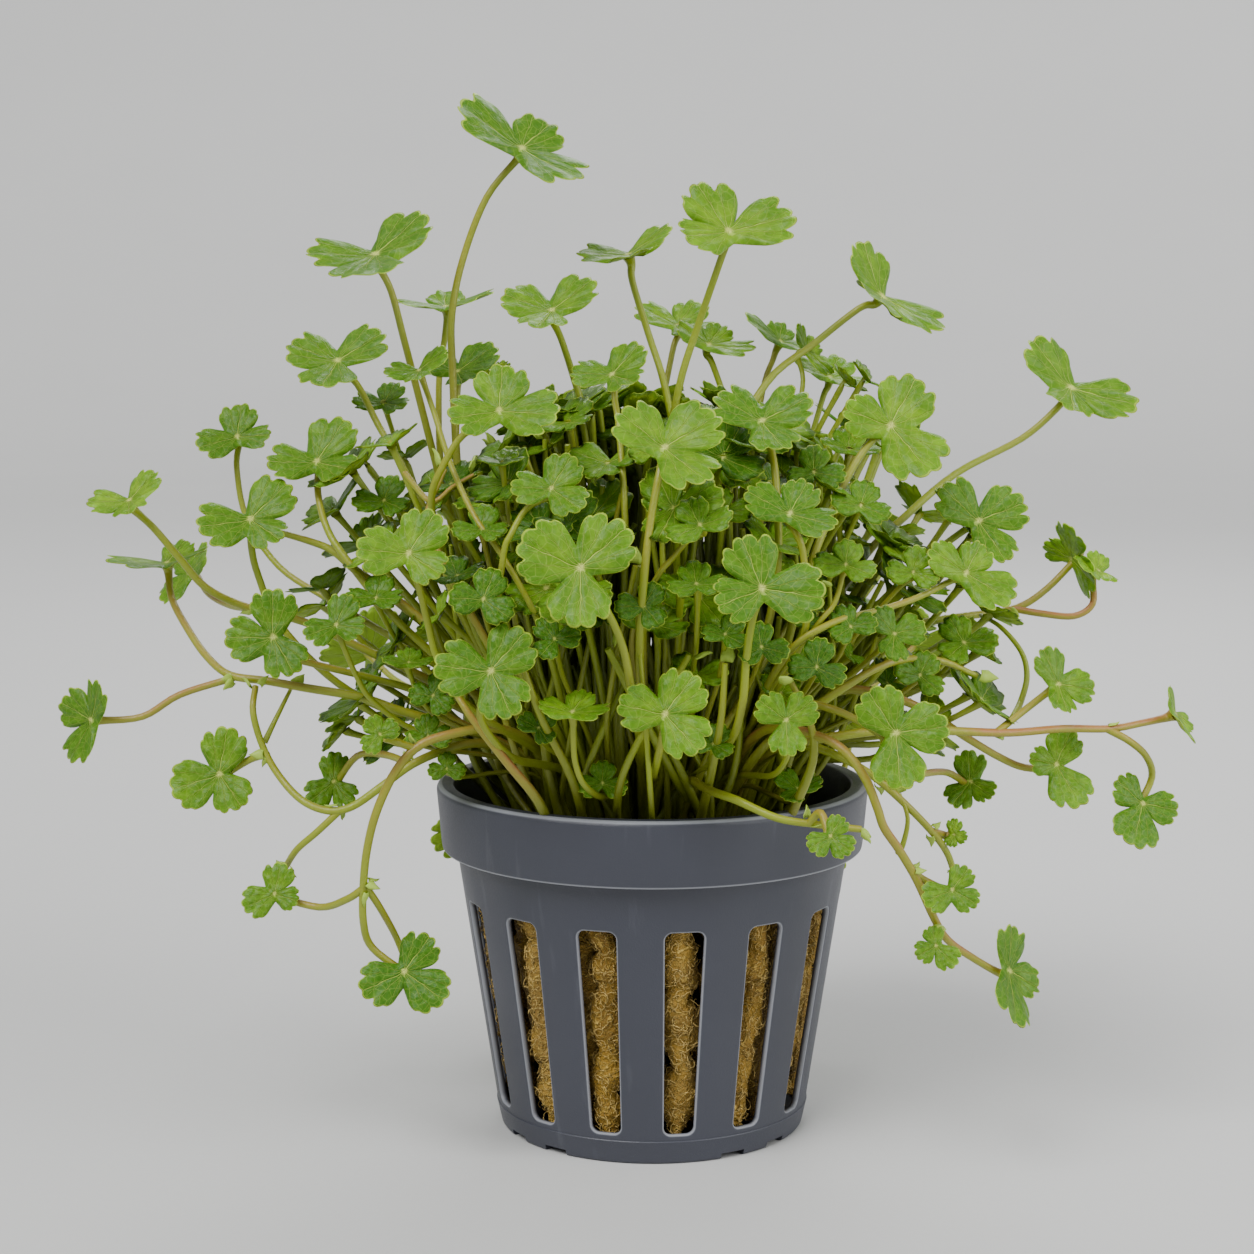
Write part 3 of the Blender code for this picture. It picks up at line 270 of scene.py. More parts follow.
LEAVES = {
    "leaf_tall": leaf((-16.1, 123.4, 2), 8.4, 50, 64, 63,
        [(-20.4, 117.5, 2), (-23.3, 110, 2), (-24.7, 103, 3), (-24.6, 96, 4)],
        lobes=[(146, 1.1), (51, 0.68), (-28, 1)]),
    "leaf_top_left": leaf((-34.1, 110.3, 8), 8.7, 52, 100, 182,
        [(-32.2, 106, 7), (-30.6, 100, 6), (-29.3, 95, 4)], lobes=[(178, 0.98), (46, 0.95), (-112, 0.53)]),
    "leaf_top_middle": leaf((-12.4, 103.4, 10), 6.9, 50, 95, 170,
        [(-11.2, 100, 8), (-9.6, 95, 6), (-8.6, 91, 6)], lobes=[(158, 0.96), (38, 0.96), (-120, 0.46)]),
    "leaf_top_right": leaf((9.5, 113.2, 12), 8.7, 40, 78, 112,
        [(8, 108.5, 10), (5.6, 101.5, 8), (3.3, 94, 8)], lobes=[(190, 0.68), (122, 0.88), (15, 0.97)]),
    "leaf_right_high": leaf((28.2, 105.2, 1), 8.6, 58, 48, 124,
        [(25.5, 103.8, 1), (20, 99.5, 2), (14, 94.5, 5)], lobes=[(125, 0.88), (-28, 1.02), (-75, 0.4)]),
    "leaf_far_right_high": leaf((51.5, 93.9, -12), 8.6, 46, 60, 118,
        [(50, 91.6, -12), (45.6, 87.8, -11), (37.5, 83.5, -8), (31, 78, -4), (27, 74.2, 0)],
        lobes=[(130, 0.93), (-15, 1), (-70, 0.38)]),
    "leaf_back_middle": leaf((-2.9, 110.3, -2), 6.9, 64, 108, 110,
        [(-2.4, 107, -2), (-0.4, 100.5, -2), (1.6, 94, 0)], lobes=[(184, 0.93), (38, 0.95), (-70, 0.15)]),
    "leaf_left_high": leaf((-38.8, 97.2, -6), 7.5, 46, 95, 165,
        [(-36.4, 94.5, -6), (-33.8, 89.5, -4), (-30.8, 84.3, 0)],
        lobes=[(158, 0.88), (36, 0.92), (-108, 0.5)]),
    "leaf_left_inner": leaf((-28.7, 96.0, 12), 4.8, 55, 110, 100,
        [(-26.9, 91, 13), (-24.8, 84.5, 18), (-21.8, 78, 23), (-18.8, 73.8, 25)],
        lobes=[(180, 0.92), (42, 0.95), (-110, 0.22)]),
    "leaf_back_left_low": leaf((-24.0, 95.9, -5), 5.5, 50, 100, 60,
        [(-24, 93, -5)], lobes=[(150, 0.8), (40, 1.1), (-60, 0.3)]),
    "leaf_back_left": leaf((-25.4, 103.9, -16), 6.3, 70, 95, 95,
        [(-25.6, 100, -16), (-26.3, 94, -16)], lobes=[(176, 0.9), (100, 0.4), (15, 0.95)]),
    "leaf_middle_high": leaf((-4.9, 95.5, 15), 6.4, 50, 108, 60,
        [(-4.6, 92.5, 15), (-4.1, 89, 17)], lobes=[(172, 0.84), (52, 0.86), (-22, 0.48)]),
    "leaf_back_high": leaf((3.2, 101.6, -16), 5.6, 58, 92, 90,
        [(2.4, 98, -15)], lobes=[(148, 1.05), (60, 0.8), (-20, 0.6)]),
    "leaf_back_right": leaf((7.0, 99.2, -6), 6.2, 56, 75, 60,
        [(7.8, 96, -6)], lobes=[(130, 0.75), (60, 0.6), (-5, 0.93)]),
    "leaf_right_back": leaf((15.8, 99.6, -8), 5.0, 62, 62, 150,
        [(14.9, 97.5, -8), (13.6, 93.5, -6)], lobes=[(148, 1.05), (85, 0.5), (-10, 0.7)]),
    "leaf_young_right": leaf((18.9, 98.6, -3.5), 4.1, 60, 30, 95,
        [(18.6, 95, -3), (18, 90, 0)], tone=0.9, lobes=[(95, 0.85), (35, 0.6), (-22, 1)]),
    "leaf_right_behind": leaf((21.9, 95.2, -10), 5.2, 62, 78, 60, [(20.8, 92, -10)]),
    "leaf_upper_left": leaf((-18.8, 91.1, 23), 7.3, 34, 90, 100,
        [(-23.2, 88.3, 21), (-26, 84, 21), (-27.2, 80.5, 20), (-26.6, 76, 18)],
        lobes=[(188, 0.86), (88, 0.86), (-5, 1.02)]),
    "leaf_upper_middle": leaf((1.5, 86.5, 28), 8.0, 36, 80, 45,
        [(0.9, 83.5, 29), (-0.2, 77.5, 30), (-1, 70.6, 31)], lobes=[(140, 0.92), (32, 1), (-38, 0.86)]),
    "leaf_upper_right": leaf((13.5, 89.8, 20), 7.2, 42, 85, 50,
        [(14.6, 86.6, 20), (15.3, 82, 22)], lobes=[(146, 0.95), (26, 0.95), (-55, 0.62)]),
    "leaf_right_upper": leaf((29.4, 89.2, 12), 8.3, 26, 85, 62,
        [(27, 87.4, 12), (24.4, 83.6, 14), (22.2, 79, 18)], lobes=[(158, 0.76), (62, 0.88), (-52, 0.92)]),
    "leaf_left_upper": leaf((-41.3, 84.8, 5), 7.0, 42, 95, 80,
        [(-41.2, 81, 5), (-40.2, 77, 8), (-38.2, 73.6, 10)], lobes=[(178, 0.88), (60, 0.92), (-12, 0.7)]),
    "leaf_left_outer": leaf((-51.1, 87.9, -16), 5.6, 38, 90, 80,
        [(-51.2, 84, -16), (-50, 78, -15), (-46, 72, -12), (-40, 68, -8)],
        lobes=[(194, 0.86), (88, 0.8), (5, 0.76)]),
    "leaf_left_middle": leaf((-49.5, 77.7, 10), 7.1, 30, 80, 60,
        [(-49.4, 74.4, 9), (-48.6, 71, 8), (-46, 65, 8), (-40, 58.6, 8)],
        lobes=[(190, 0.88), (48, 0.93), (-30, 0.62)]),
    "leaf_front_left": leaf((-30.0, 73.5, 28), 6.9, 24, 80, 65,
        [(-28.9, 70, 26), (-27.7, 65.2, 25), (-26.4, 60.5, 25)],
        lobes=[(174, 0.94), (58, 0.9), (-32, 0.74)]),
    "leaf_front_middle": leaf((-8.9, 71.7, 36), 8.6, 16, 80, 40,
        [(-5.6, 66.6, 33), (-3.6, 62, 32), (-2.7, 57.5, 31)], lobes=[(155, 0.97), (42, 0.94), (-88, 0.86)]),
    "leaf_front_right": leaf((13.6, 69.2, 36), 8.2, 16, 80, 105,
        [(12.3, 65.2, 33), (11.6, 60.5, 31), (11.2, 55.5, 30)],
        lobes=[(200, 0.76), (112, 0.86), (-8, 0.95)]),
    "leaf_inner_upper": leaf((-12.4, 81.5, 27), 5.6, 30, 90, 50,
        [(-15.4, 79.2, 26), (-17.4, 76, 27), (-18.3, 73.5, 27)],
        lobes=[(175, 0.92), (60, 0.9), (-35, 0.84)]),
    "leaf_inner_right": leaf((17.0, 78.4, 27), 6.7, 40, 85, 60,
        [(17.8, 76, 27), (18.7, 73, 27)], lobes=[(150, 0.95), (62, 0.76), (-14, 0.86)]),
    "leaf_low_left": leaf((-19.9, 59.0, 32), 7.3, 14, 90, 50,
        [(-20.6, 56.4, 30), (-21.2, 53.5, 28), (-19.5, 50.5, 26)],
        lobes=[(172, 0.98), (50, 0.94), (-62, 0.86)]),
    "leaf_low_middle": leaf((1.6, 53.7, 34), 7.2, 16, 85, 50,
        [(1.2, 50.8, 32), (0.6, 48, 29)], lobes=[(166, 0.85), (54, 0.88), (-46, 0.86)]),
    "leaf_low_right": leaf((30.0, 51.4, 30), 7.3, 14, 80, 115,
        [(29.6, 49.6, 28), (27.4, 51.8, 27), (22.8, 54.2, 26)],
        lobes=[(122, 0.88), (8, 0.92), (-86, 0.94)]),
    "leaf_low_right_small": leaf((16.5, 53.0, 31), 5.0, 14, 80, 130,
        [(16.9, 50.4, 29), (16.4, 48, 27)], lobes=[(142, 0.88), (36, 0.9), (-88, 0.88)]),
    "leaf_low_edge_on": leaf((-9.8, 53.9, 30), 5.3, 60, 92, 95,
        [(-9.7, 51, 29), (-9.5, 48, 28), (-8.6, 45.4, 27), (-7, 43.9, 24.5)],
        lobes=[(165, 0.84), (55, 0.6), (5, 0.85)]),
    "leaf_right_outer": leaf((40.2, 77.5, 10), 7.1, 26, 62, 30,
        [(38.4, 76.4, 8), (34.4, 73.4, 7), (30.8, 70.2, 7)], lobes=[(134, 0.92), (22, 0.92), (-50, 0.84)]),
    "leaf_right_front": leaf((38.7, 71.1, 16), 6.2, 30, 70, 70,
        [(36.8, 70.2, 15), (32.8, 68.2, 17), (28, 66.6, 21), (22.6, 65.2, 25)],
        lobes=[(112, 0.9), (62, 0.72), (-30, 1.05)]),
    "leaf_left_lower": leaf((-46.7, 63.2, 16), 6.7, 14, 90, 100,
        [(-45, 61, 14), (-41, 59.8, 12), (-36, 58.6, 10)], lobes=[(178, 0.9), (92, 0.92), (-60, 0.8)]),
    "leaf_rear_top": leaf((-2, 86, -31), 7.6, 100, 90, 90, [(-2, 82, -29)]),
    "leaf_rear_left": leaf((-20, 80, -32), 7.2, 118, 112, 100, [(-19, 76, -30)]),
    "leaf_rear_right": leaf((19, 82, -30), 7.4, 116, 68, 80, [(18, 78, -28)]),
    "leaf_rear_middle": leaf((-8, 67, -42), 8.0, 134, 95, 70, [(-7, 62, -37), (-6, 57, -33)]),
    "leaf_rear_side": leaf((13, 64, -41), 7.6, 138, 80, 110, [(12, 60, -36), (10, 55, -32)]),
    "leaf_rear_low": leaf((2, 55, -37), 6.6, 142, 90, 60, [(2, 54.3, -33), (1, 54, -29)]),
    "leaf_left_small": leaf((-38.9, 64.7, 18), 4.7, 30, 90, 80,
        [(-38, 62, 17), (-36.4, 58.4, 16), (-34.6, 55.6, 15)], lobes=[(198, 0.86), (70, 0.88), (-8, 0.78)]),
}

# A shoot is a trailing stem grown as one piece with its side stems and leaves. Each run is a route,
# as readings, and the leaf that it ends in, if any; the first run is the main stem.
Run = namedtuple("Run", "route leaf", defaults=(None,))

SHOOTS = {
    "shoot_left": [
        Run([(-31, 54.2, 12), (-36, 55.9, 12), (-42.5, 57, 12), (-47.5, 57.9, 11), (-52, 58.6, 10),
            (-54.8, 60.8, 7), (-57.2, 64.2, 3), (-59.2, 68, -1)],
            leaf((-59.8, 72.3, -3), 6.3, 70, 95, 100, tone=0.6,
                lobes=[(180, 1.02), (60, 0.55), (15, 0.85)])),
        Run([(-51.5, 58.3, 10), (-58.2, 56.2, 9), (-62.8, 53.5, 9)],
            leaf((-69.0, 53.1, 10), 6.0, 42, 172, 180, tone=0.15,
                lobes=[(75, 0.82), (155, 0.86), (238, 1)])),
    ],
    "shoot_left_high": [
        Run([(-36, 62, 3), (-43, 65.2, 3), (-50, 67, 3), (-55, 69.4, 5), (-58.4, 73.2, 6),
            (-61.5, 76.8, 6)],
            leaf((-64.4, 80.0, 6), 5.8, 52, 110, 115, tone=0.9,
                lobes=[(182, 0.9), (55, 0.86), (-70, 0.15)])),
        Run([(-49, 66.8, 3), (-52, 67.2, -3), (-54.6, 68.6, -9)],
            leaf((-57.0, 71.2, -13), 4.8, 50, 150, 60, lobes=[(225, 1.05), (130, 0.5), (35, 0.75)])),
    ],
    "shoot_lower_left": [
        Run([(-25.5, 49.4, 15), (-29.6, 47.6, 16.5), (-33.2, 45, 17.5), (-37, 42.4, 18), (-40, 41.9, 18),
            (-43.2, 43.2, 17), (-46, 46.2, 15), (-48, 49.8, 14), (-49.2, 54, 14.4), (-48.9, 57.2, 12.4)]),
        Run([(-38.3, 42.1, 18), (-41.4, 39.2, 18), (-43.8, 37.1, 17), (-45.3, 34.8, 14)]),
        Run([(-29.6, 47.6, 16.5), (-33, 48.8, 10), (-36.4, 48.6, 4)],
            leaf((-39.2, 45.4, 1), 4.3, 20, 90, 80, lobes=[(218, 0.9), (90, 0.9), (-48, 0.82)])),
        Run([(-47.4, 48.8, 14.2), (-49.6, 48.2, 12.5)],
            leaf((-53.3, 46.3, 14), 6.2, 12, 90, 90, lobes=[(196, 1), (82, 0.98), (-52, 0.8)])),
    ],
    "shoot_hanging_left": [
        Run([(-24.5, 51.4, 22), (-28.6, 50, 23), (-31.6, 46.8, 24), (-33.9, 42, 24), (-35.1, 37.4, 23),
            (-35.6, 32.8, 22), (-35.6, 28.2, 21), (-34.5, 25, 19)],
            leaf((-30.5, 22.0, 20), 6.3, 14, 90, 70, tone=0.02,
                lobes=[(208, 0.92), (55, 0.88), (-32, 0.98)])),
        Run([(-35.6, 33, 22), (-33.6, 30, 20), (-31.6, 26.4, 16), (-30.4, 23.4, 16)]),
        Run([(-29.4, 49.6, 23.2), (-31.6, 50.4, 24)],
            leaf((-33.5, 51.3, 27), 3.1, 14, 90, 50, lobes=[(228, 0.92), (130, 0.86), (25, 0.84)])),
        Run([(-35.5, 32.4, 22), (-37.6, 31, 21), (-41, 30, 18)],
            leaf((-46.5, 31.6, 18), 4.0, 16, 90, 85, lobes=[(202, 1.04), (80, 1), (-15, 0.78)])),
    ],
    "shoot_right": [
        Run([(22.4, 51, 23), (26.6, 51.6, 22), (32, 51.9, 20), (37.5, 51.7, 18), (44, 51.5, 16),
            (50.5, 52, 13), (56.4, 52, 11), (60.4, 52.7, 9)],
            leaf((64.4, 53.8, 8), 4.7, 66, 25, 110, tone=0.85,
                lobes=[(101, 0.78), (-20, 0.4), (-53, 1.03)])),
        Run([(56, 52, 11), (58.8, 50.5, 11), (60.9, 48.6, 9), (61.6, 46, 7)],
            leaf((60.4, 42.7, 9), 5.3, 26, 60, 20, tone=0.1, lobes=[(142, 0.86), (-8, 0.88), (250, 1)])),
        Run([(42.5, 51.6, 16.5), (45.8, 54.2, 13)],
            leaf((50.0, 57.4, 12), 5.5, 34, 45, 20, lobes=[(112, 0.9), (-5, 0.92), (-56, 0.72)])),
    ],
    "shoot_right_high": [
        Run([(28, 62.6, -2), (32.5, 64.8, -4), (38, 65.8, -6), (44.6, 66.8, -8), (48.6, 69.2, -9)],
            leaf((51.8, 73.0, -10), 5.0, 62, 205, 115, tone=0.8,
                lobes=[(135, 0.8), (105, 1.05), (-22, 1.1)])),
        Run([(44.4, 66.8, -8), (48, 66.2, -7), (52, 65.9, -7), (54.3, 67.4, -7)],
            leaf((54.9, 71.4, -7), 4.0, 58, 60, 80, tone=0.95, lobes=[(75, 0.65), (-20, 0.3), (-60, 1.1)])),
    ],
    "shoot_hanging_right": [
        Run([(19.5, 51.4, 26), (23.2, 49.7, 28), (26.1, 46.2, 29.5), (27.7, 42.4, 30), (28.6, 39.8, 29.5),
            (30.5, 37, 28), (32.6, 33.4, 26.5), (34.7, 28.8, 25), (36.4, 26, 24), (39.6, 23.7, 22)],
            leaf((43.9, 22.1, 21), 6.4, 48, 22, 95, tone=0.15, lobes=[(82, 0.9), (-28, 0.76), (-86, 1)])),
        Run([(35.4, 27.4, 24.8)],
            leaf((35.0, 25.2, 28), 3.4, 14, 90, 60, lobes=[(205, 0.84), (100, 0.76), (-45, 0.98)])),
        Run([(32, 34.4, 27), (33.8, 33.2, 25.6)],
            leaf((37.0, 32.1, 28), 4.1, 18, 80, 60, lobes=[(235, 0.92), (52, 0.86), (-14, 0.88)])),
    ],
    "shoot_rim_right": [
        Run([(7.6, 44.2, 25.5), (10.4, 43.2, 28.5), (15.4, 41, 30.5), (20.4, 40.2, 31), (25.8, 39.6, 31.6)]),
        Run([(19.4, 40.4, 31), (20.8, 41.6, 32.4)],
            leaf((22.0, 38.7, 35.5), 3.7, 20, 90, 110, lobes=[(212, 0.86), (60, 0.8), (-35, 0.86)])),
    ],
    "shoot_right_low": [
        Run([(23, 48.6, 21), (27.2, 46.2, 22), (31, 42.9, 22), (34.4, 39.4, 21), (36.3, 36.8, 19),
            (37.2, 34.4, 17)]),
        Run([(34.4, 39.4, 21), (35.6, 39, 19)],
            leaf((37.2, 38.9, 19.6), 2.4, 20, 90, 60, tone=0.95,
                lobes=[(85, 0.86), (-12, 0.66), (240, 0.6)])),
        Run([(28, 45.6, 22), (33, 46.4, 15), (36.4, 46.6, 7)],
            leaf((39.2, 45.4, 3), 4.5, 26, 90, 80, lobes=[(90, 0.9), (-35, 0.7), (-115, 0.8)])),
    ],
    "shoot_rear_left": [
        Run([(-14, 54.5, -24), (-20, 55.5, -31), (-26, 56, -38), (-31, 57.6, -44)],
            leaf((-35, 61.5, -49), 6.6, 126, 122, 60)),
        Run([(-24, 56, -36), (-26, 52.5, -39), (-25, 46.5, -39)], leaf((-22, 40, -38), 5.6, 148, 150, 100)),
    ],
    "shoot_rear_right": [
        Run([(12, 53.5, -25), (18, 54, -32), (24, 55.6, -39), (28.5, 58.4, -44)],
            leaf((32, 62.5, -49), 6.6, 124, 62, 120)),
        Run([(23, 55.4, -37.6), (24.4, 51.5, -40), (23, 45, -39)], leaf((19.5, 38, -37), 5.4, 150, 30, 80)),
    ],
    "shoot_rear_hanging": [
        Run([(-9, 54, -22), (-11, 53.4, -29), (-12.5, 48.5, -34.5), (-13, 38, -35)],
            leaf((-12, 28, -34), 6.2, 160, 100, 80)),
        Run([(-11.8, 51.2, -32), (-8, 48, -37), (-3, 43, -38)], leaf((3, 38.5, -37.5), 4.8, 156, 40, 130)),
    ],
    "shoot_right_side": [
        Run([(27, 56.6, 12), (33, 54.6, 12), (38.6, 51.0, 11), (43, 48.4, 9), (46, 47.2, 8)],
            leaf((49.8, 47.5, 11), 5.1, 22, 70, 65, lobes=[(165, 0.65), (65, 0.93), (-60, 1.1)])),
    ],
}

# Small leaves in front of the thicket, with the same readings. Each has its own stalk down to the pot.
SMALL_LEAVES = (
    leaf((-20.8, 67.9, 29.5), 4.6, 22, 70, 70, tone=0.05),
    leaf((5.5, 69.7, 31.0), 4.2, 50, 95, 100, tone=0.2),
    leaf((-1.0, 67.0, 31.0), 3.8, 25, 90, 60, tone=0.0),
    leaf((6.0, 77.0, 30.5), 4.8, 45, 110, 120, [(4.8, 75.6, 30), (2.5, 73, 29), (0.5, 70.5, 28)], tone=0.3),
    leaf((23.9, 72.1, 25.5), 4.2, 40, 90, 80, [(23.5, 71, 25), (22.5, 67.5, 25), (20.5, 65, 25)], tone=0.35),
    leaf((32.2, 71.2, 16.0), 3.6, 30, 90, 70, [(31, 69.9, 15), (29, 67.8, 14)], tone=0.45),
    leaf((29.8, 63.6, 22.0), 4.2, 30, 60, 10, tone=0.15),
    leaf((38.5, 62.5, 10.0), 4.5, 35, 90, 120, tone=0.3),
    leaf((33.0, 58.5, 17.0), 3.8, 30, 70, 60, tone=0.2),
    leaf((20.3, 59.5, 28.0), 4.0, 25, 90, 80, tone=0.0),
    leaf((13.5, 62.0, 30.0), 3.6, 25, 90, 100, tone=0.0),
    leaf((-27.6, 51.0, 18.0), 3.3, 25, 90, 100, tone=0.2),
    leaf((-27.0, 56.0, 20.0), 3.5, 25, 90, 60, tone=0.05),
    leaf((-25.3, 47.0, 17.5), 2.5, 25, 90, 90, tone=0.3),
    leaf((-6.1, 45.2, 22.0), 3.3, 30, 90, 90, tone=0.2),
    leaf((-14.0, 52.0, 26.0), 3.0, 30, 90, 50, tone=0.0),
    leaf((-18.5, 84.7, 20.0), 3.5, 70, 95, 60, tone=0.3),
    leaf((25.7, 79.4, 18.0), 4.2, 35, 70, 70, tone=0.2),
    leaf((20.0, 83.5, 16.0), 4.0, 30, 90, 90, tone=0.1),
    leaf((24.3, 86.3, 6.0), 4.3, 62, 80, 90, tone=0.3),
    leaf((-33.0, 92.0, -12.0), 4.0, 50, 100, 60, tone=0.2),
    leaf((-30.0, 60.0, 19.0), 3.6, 66, 90, 90, tone=0.3),
    leaf((18.0, 44.5, 20.0), 3.4, 50, 90, 150, tone=0.1),
    leaf((-33.0, 80.0, 6.0), 4.0, 40, 100, 70, tone=0.15),
    leaf((-12.0, 63.0, 29.0), 3.6, 30, 90, 130, tone=0.0),
    leaf((-21.0, 76.5, 24.0), 3.8, 45, 95, 80, tone=0.15),
    leaf((9.0, 63.5, 30.0), 3.4, 40, 90, 50, tone=0.05),
    leaf((24.5, 64.5, 25.0), 3.5, 30, 90, 120, tone=0.05),
    leaf((-34.0, 68.0, 14.0), 3.9, 45, 95, 80, tone=0.15),
    leaf((7.5, 50.0, 27.5), 3.2, 40, 90, 60, tone=0.1),
)

# Loose stems over the thicket, as readings, with a radius in millimetres and how brown they are.
LOOSE_STEMS = (
    ([(-47, 76.5, 8), (-42.5, 75.2, 7), (-39.5, 74, 7), (-36.5, 71.5, 8), (-33, 69, 9), (-28, 65, 10)], 0.8,
        0.8),
    ([(-25.5, 84, 15), (-26.4, 82, 16), (-27.3, 80, 17), (-27.6, 77, 18), (-25, 71, 20), (-20, 62, 22)],
        0.6, 0.9),
    ([(-22, 83.3, 15), (-24.6, 81.8, 16), (-27.3, 80, 17), (-30.5, 83.5, 13)], 0.5, 0.9),
    ([(-24, 56, 24), (-22, 53, 25), (-18, 48, 25), (-14, 43, 23), (-12, 38, 18)], 0.85, 0.9),
    ([(40.5, 66, -4), (43, 64.5, 4), (45.5, 61.5, 6), (46.2, 58.5, 7), (45.5, 55.5, 9), (44.5, 53.4, 13)],
        0.55, 0.2),
    ([(30.5, 44, 22), (31.5, 41, 22.5), (31, 38, 22.5), (30.3, 36.6, 22)], 0.5, 0.3),
    ([(-44.5, 57, 10), (-46.5, 53, 12), (-47.8, 50.3, 13)], 0.5, 0.3),
    ([(40, 58.5, 12), (35, 60.5, 14), (29, 60, 18), (22, 56, 21), (14, 50, 20), (9, 43, 14)], 0.8, 0.55),
    ([(-17, 66, 28), (-16, 60, 28), (-13.5, 53, 27), (-10, 46, 24), (-8, 39, 18)], 0.7, 0.5),
    ([(9, 60, 30), (8.6, 54, 29), (7.6, 48, 26), (6, 41, 20)], 0.75, 0.45),
    ([(17, 58, 28), (19.4, 53, 27), (19.8, 48, 25), (17, 41, 20)], 0.75, 0.6),
)


class PlantSettings(bpy.types.PropertyGroup):
    """Sizes and colours of the stems and leaves."""
    leaf_thickness: bpy.props.FloatProperty(
        name="Leaf Thickness", description="Thickness of a blade at its hub", default=0.36 * MM,
        unit="LENGTH")
    tooth_depth: bpy.props.FloatProperty(
        name="Tooth Depth", description="Depth of a tooth's notch, as part of the leaf's radius",
        default=0.060)
    sub_lobe_depth: bpy.props.FloatProperty(
        name="Sub-lobe Depth", description="Depth of the notch between two sub-lobes", default=0.115)
    stalk_radius: bpy.props.FloatProperty(
        name="Stalk Radius", description="Radius of a leaf's stalk", default=0.50 * MM, unit="LENGTH")
    stem_radius: bpy.props.FloatProperty(
        name="Stem Radius", description="Radius of a trailing stem", default=0.62 * MM, unit="LENGTH")
    seed: bpy.props.IntProperty(
        name="Seed", description="Starts the small differences between leaves", default=11)
    deep_green: bpy.props.FloatVectorProperty(
        name="Deep Green", description="Blade of an old leaf", subtype="COLOR", size=3,
        default=(0.030, 0.118, 0.0015))
    fresh_green: bpy.props.FloatVectorProperty(
        name="Fresh Green", description="Blade of a young leaf", subtype="COLOR", size=3,
        default=(0.285, 0.495, 0.003))
    vein: bpy.props.FloatVectorProperty(
        name="Vein", description="Veins, hub and margin of a blade", subtype="COLOR", size=3,
        default=(0.50, 0.67, 0.11))
    stem_green: bpy.props.FloatVectorProperty(
        name="Stem Green", description="Young stem", subtype="COLOR", size=3, default=(0.250, 0.330, 0.008))
    # Tan of old stems, laid on more thickly on their upper side as painted light
    stem_tan: bpy.props.FloatVectorProperty(
        name="Stem Tan", description="Old stem, where light has reddened it", subtype="COLOR", size=3,
        default=(0.380, 0.140, 0.045))


class PotSettings(bpy.types.PropertyGroup):
    """Finish of the net pot and its wool plug."""
    plastic: bpy.props.FloatVectorProperty(
        name="Plastic", description="Colour of the moulded pot", subtype="COLOR", size=3,
        default=(0.040, 0.043, 0.058))
    roughness: bpy.props.FloatProperty(
        name="Roughness", description="Roughness of the pot's satin surface", default=0.36, min=0.0,
        max=1.0)
    wool: bpy.props.FloatVectorProperty(
        name="Wool", description="Colour of the mineral wool", subtype="COLOR", size=3,
        default=(0.320, 0.175, 0.008))
    fibre_density: bpy.props.FloatProperty(
        name="Fibre Density", description="Loose fibres on the wool, per square metre", default=850000.0)


class StudioSettings(bpy.types.PropertyGroup):
    """Floor and light."""
    floor: bpy.props.FloatVectorProperty(
        name="Floor", description="Colour of the floor", subtype="COLOR", size=3, default=(0.60, 0.60, 0.59))
    key_strength: bpy.props.FloatProperty(
        name="Key Strength", description="Strength of the wide soft key light", default=3.2)
    fill_power: bpy.props.FloatProperty(
        name="Fill Power", description="Strength of the soft fill light", default=3.2, unit="POWER")
    sky: bpy.props.FloatProperty(
        name="Surround", description="Strength of the pale surround", default=0.36)


# Nodes

def put(tree, socket, source):
    """Links a source to a socket, or sets the socket to a plain value."""
    if isinstance(source, bpy.types.NodeSocket):
        tree.links.new(source, socket)
    else:
        socket.default_value = source


def add_node(tree, kind, **values):
    node = tree.nodes.new(kind)
    for key, value in values.items():
        setattr(node, key, value)
    return node


def feed(tree, node, **sources):
    """Feeds sockets named with underscores for spaces, or i0, i1 and so on by their place."""
    for key, source in sources.items():
        by_place = key[0] == "i" and key[1:].isdigit()
        put(tree, node.inputs[int(key[1:]) if by_place else key.replace("_", " ")], source)
    return node


def maths(tree, operation, *terms):
    node = add_node(tree, "ShaderNodeMath", operation=operation)
    for socket, term in zip(node.inputs, terms):
        put(tree, socket, term)
    return node.outputs[0]


def vector_maths(tree, operation, *terms):
    node = add_node(tree, "ShaderNodeVectorMath", operation=operation)
    for socket, term in zip(node.inputs, terms):
        put(tree, socket, term)
    return node.outputs["Value" if operation in ("LENGTH", "DOT_PRODUCT") else "Vector"]


def parts_of(tree, vector):
    return feed(tree, add_node(tree, "ShaderNodeSeparateXYZ"), Vector=vector).outputs


def from_axis(tree, place):
    """The part of a place that points straight out from the pot's axis."""
    return vector_maths(tree, "MULTIPLY", place, (1.0, 1.0, 0.0))


def ramp_to(tree, value, low, high, out_low=0.0, out_high=1.0):
    """Smooth step of a value between two limits."""
    node = add_node(tree, "ShaderNodeMapRange", interpolation_type="SMOOTHSTEP")
    feed(tree, node, Value=value, From_Min=low, From_Max=high, To_Min=out_low, To_Max=out_high)
    return node.outputs["Result"]


def mix_colours(tree, share, first, second):
    node = add_node(tree, "ShaderNodeMix", data_type="RGBA")
    put(tree, node.inputs[0], share)
    for socket, colour in ((node.inputs[6], first), (node.inputs[7], second)):
        put(tree, socket, colour if isinstance(colour, bpy.types.NodeSocket) else (*colour, 1.0))
    return node.outputs[2]


def tint(tree, mask, strength, below, colour):
    """Lays a colour over another where a mask shows, at a strength."""
    return mix_colours(tree, maths(tree, "MULTIPLY", mask, strength), below, colour)


def group_named(name, build):
    return bpy.data.node_groups.get(name) or build(name)


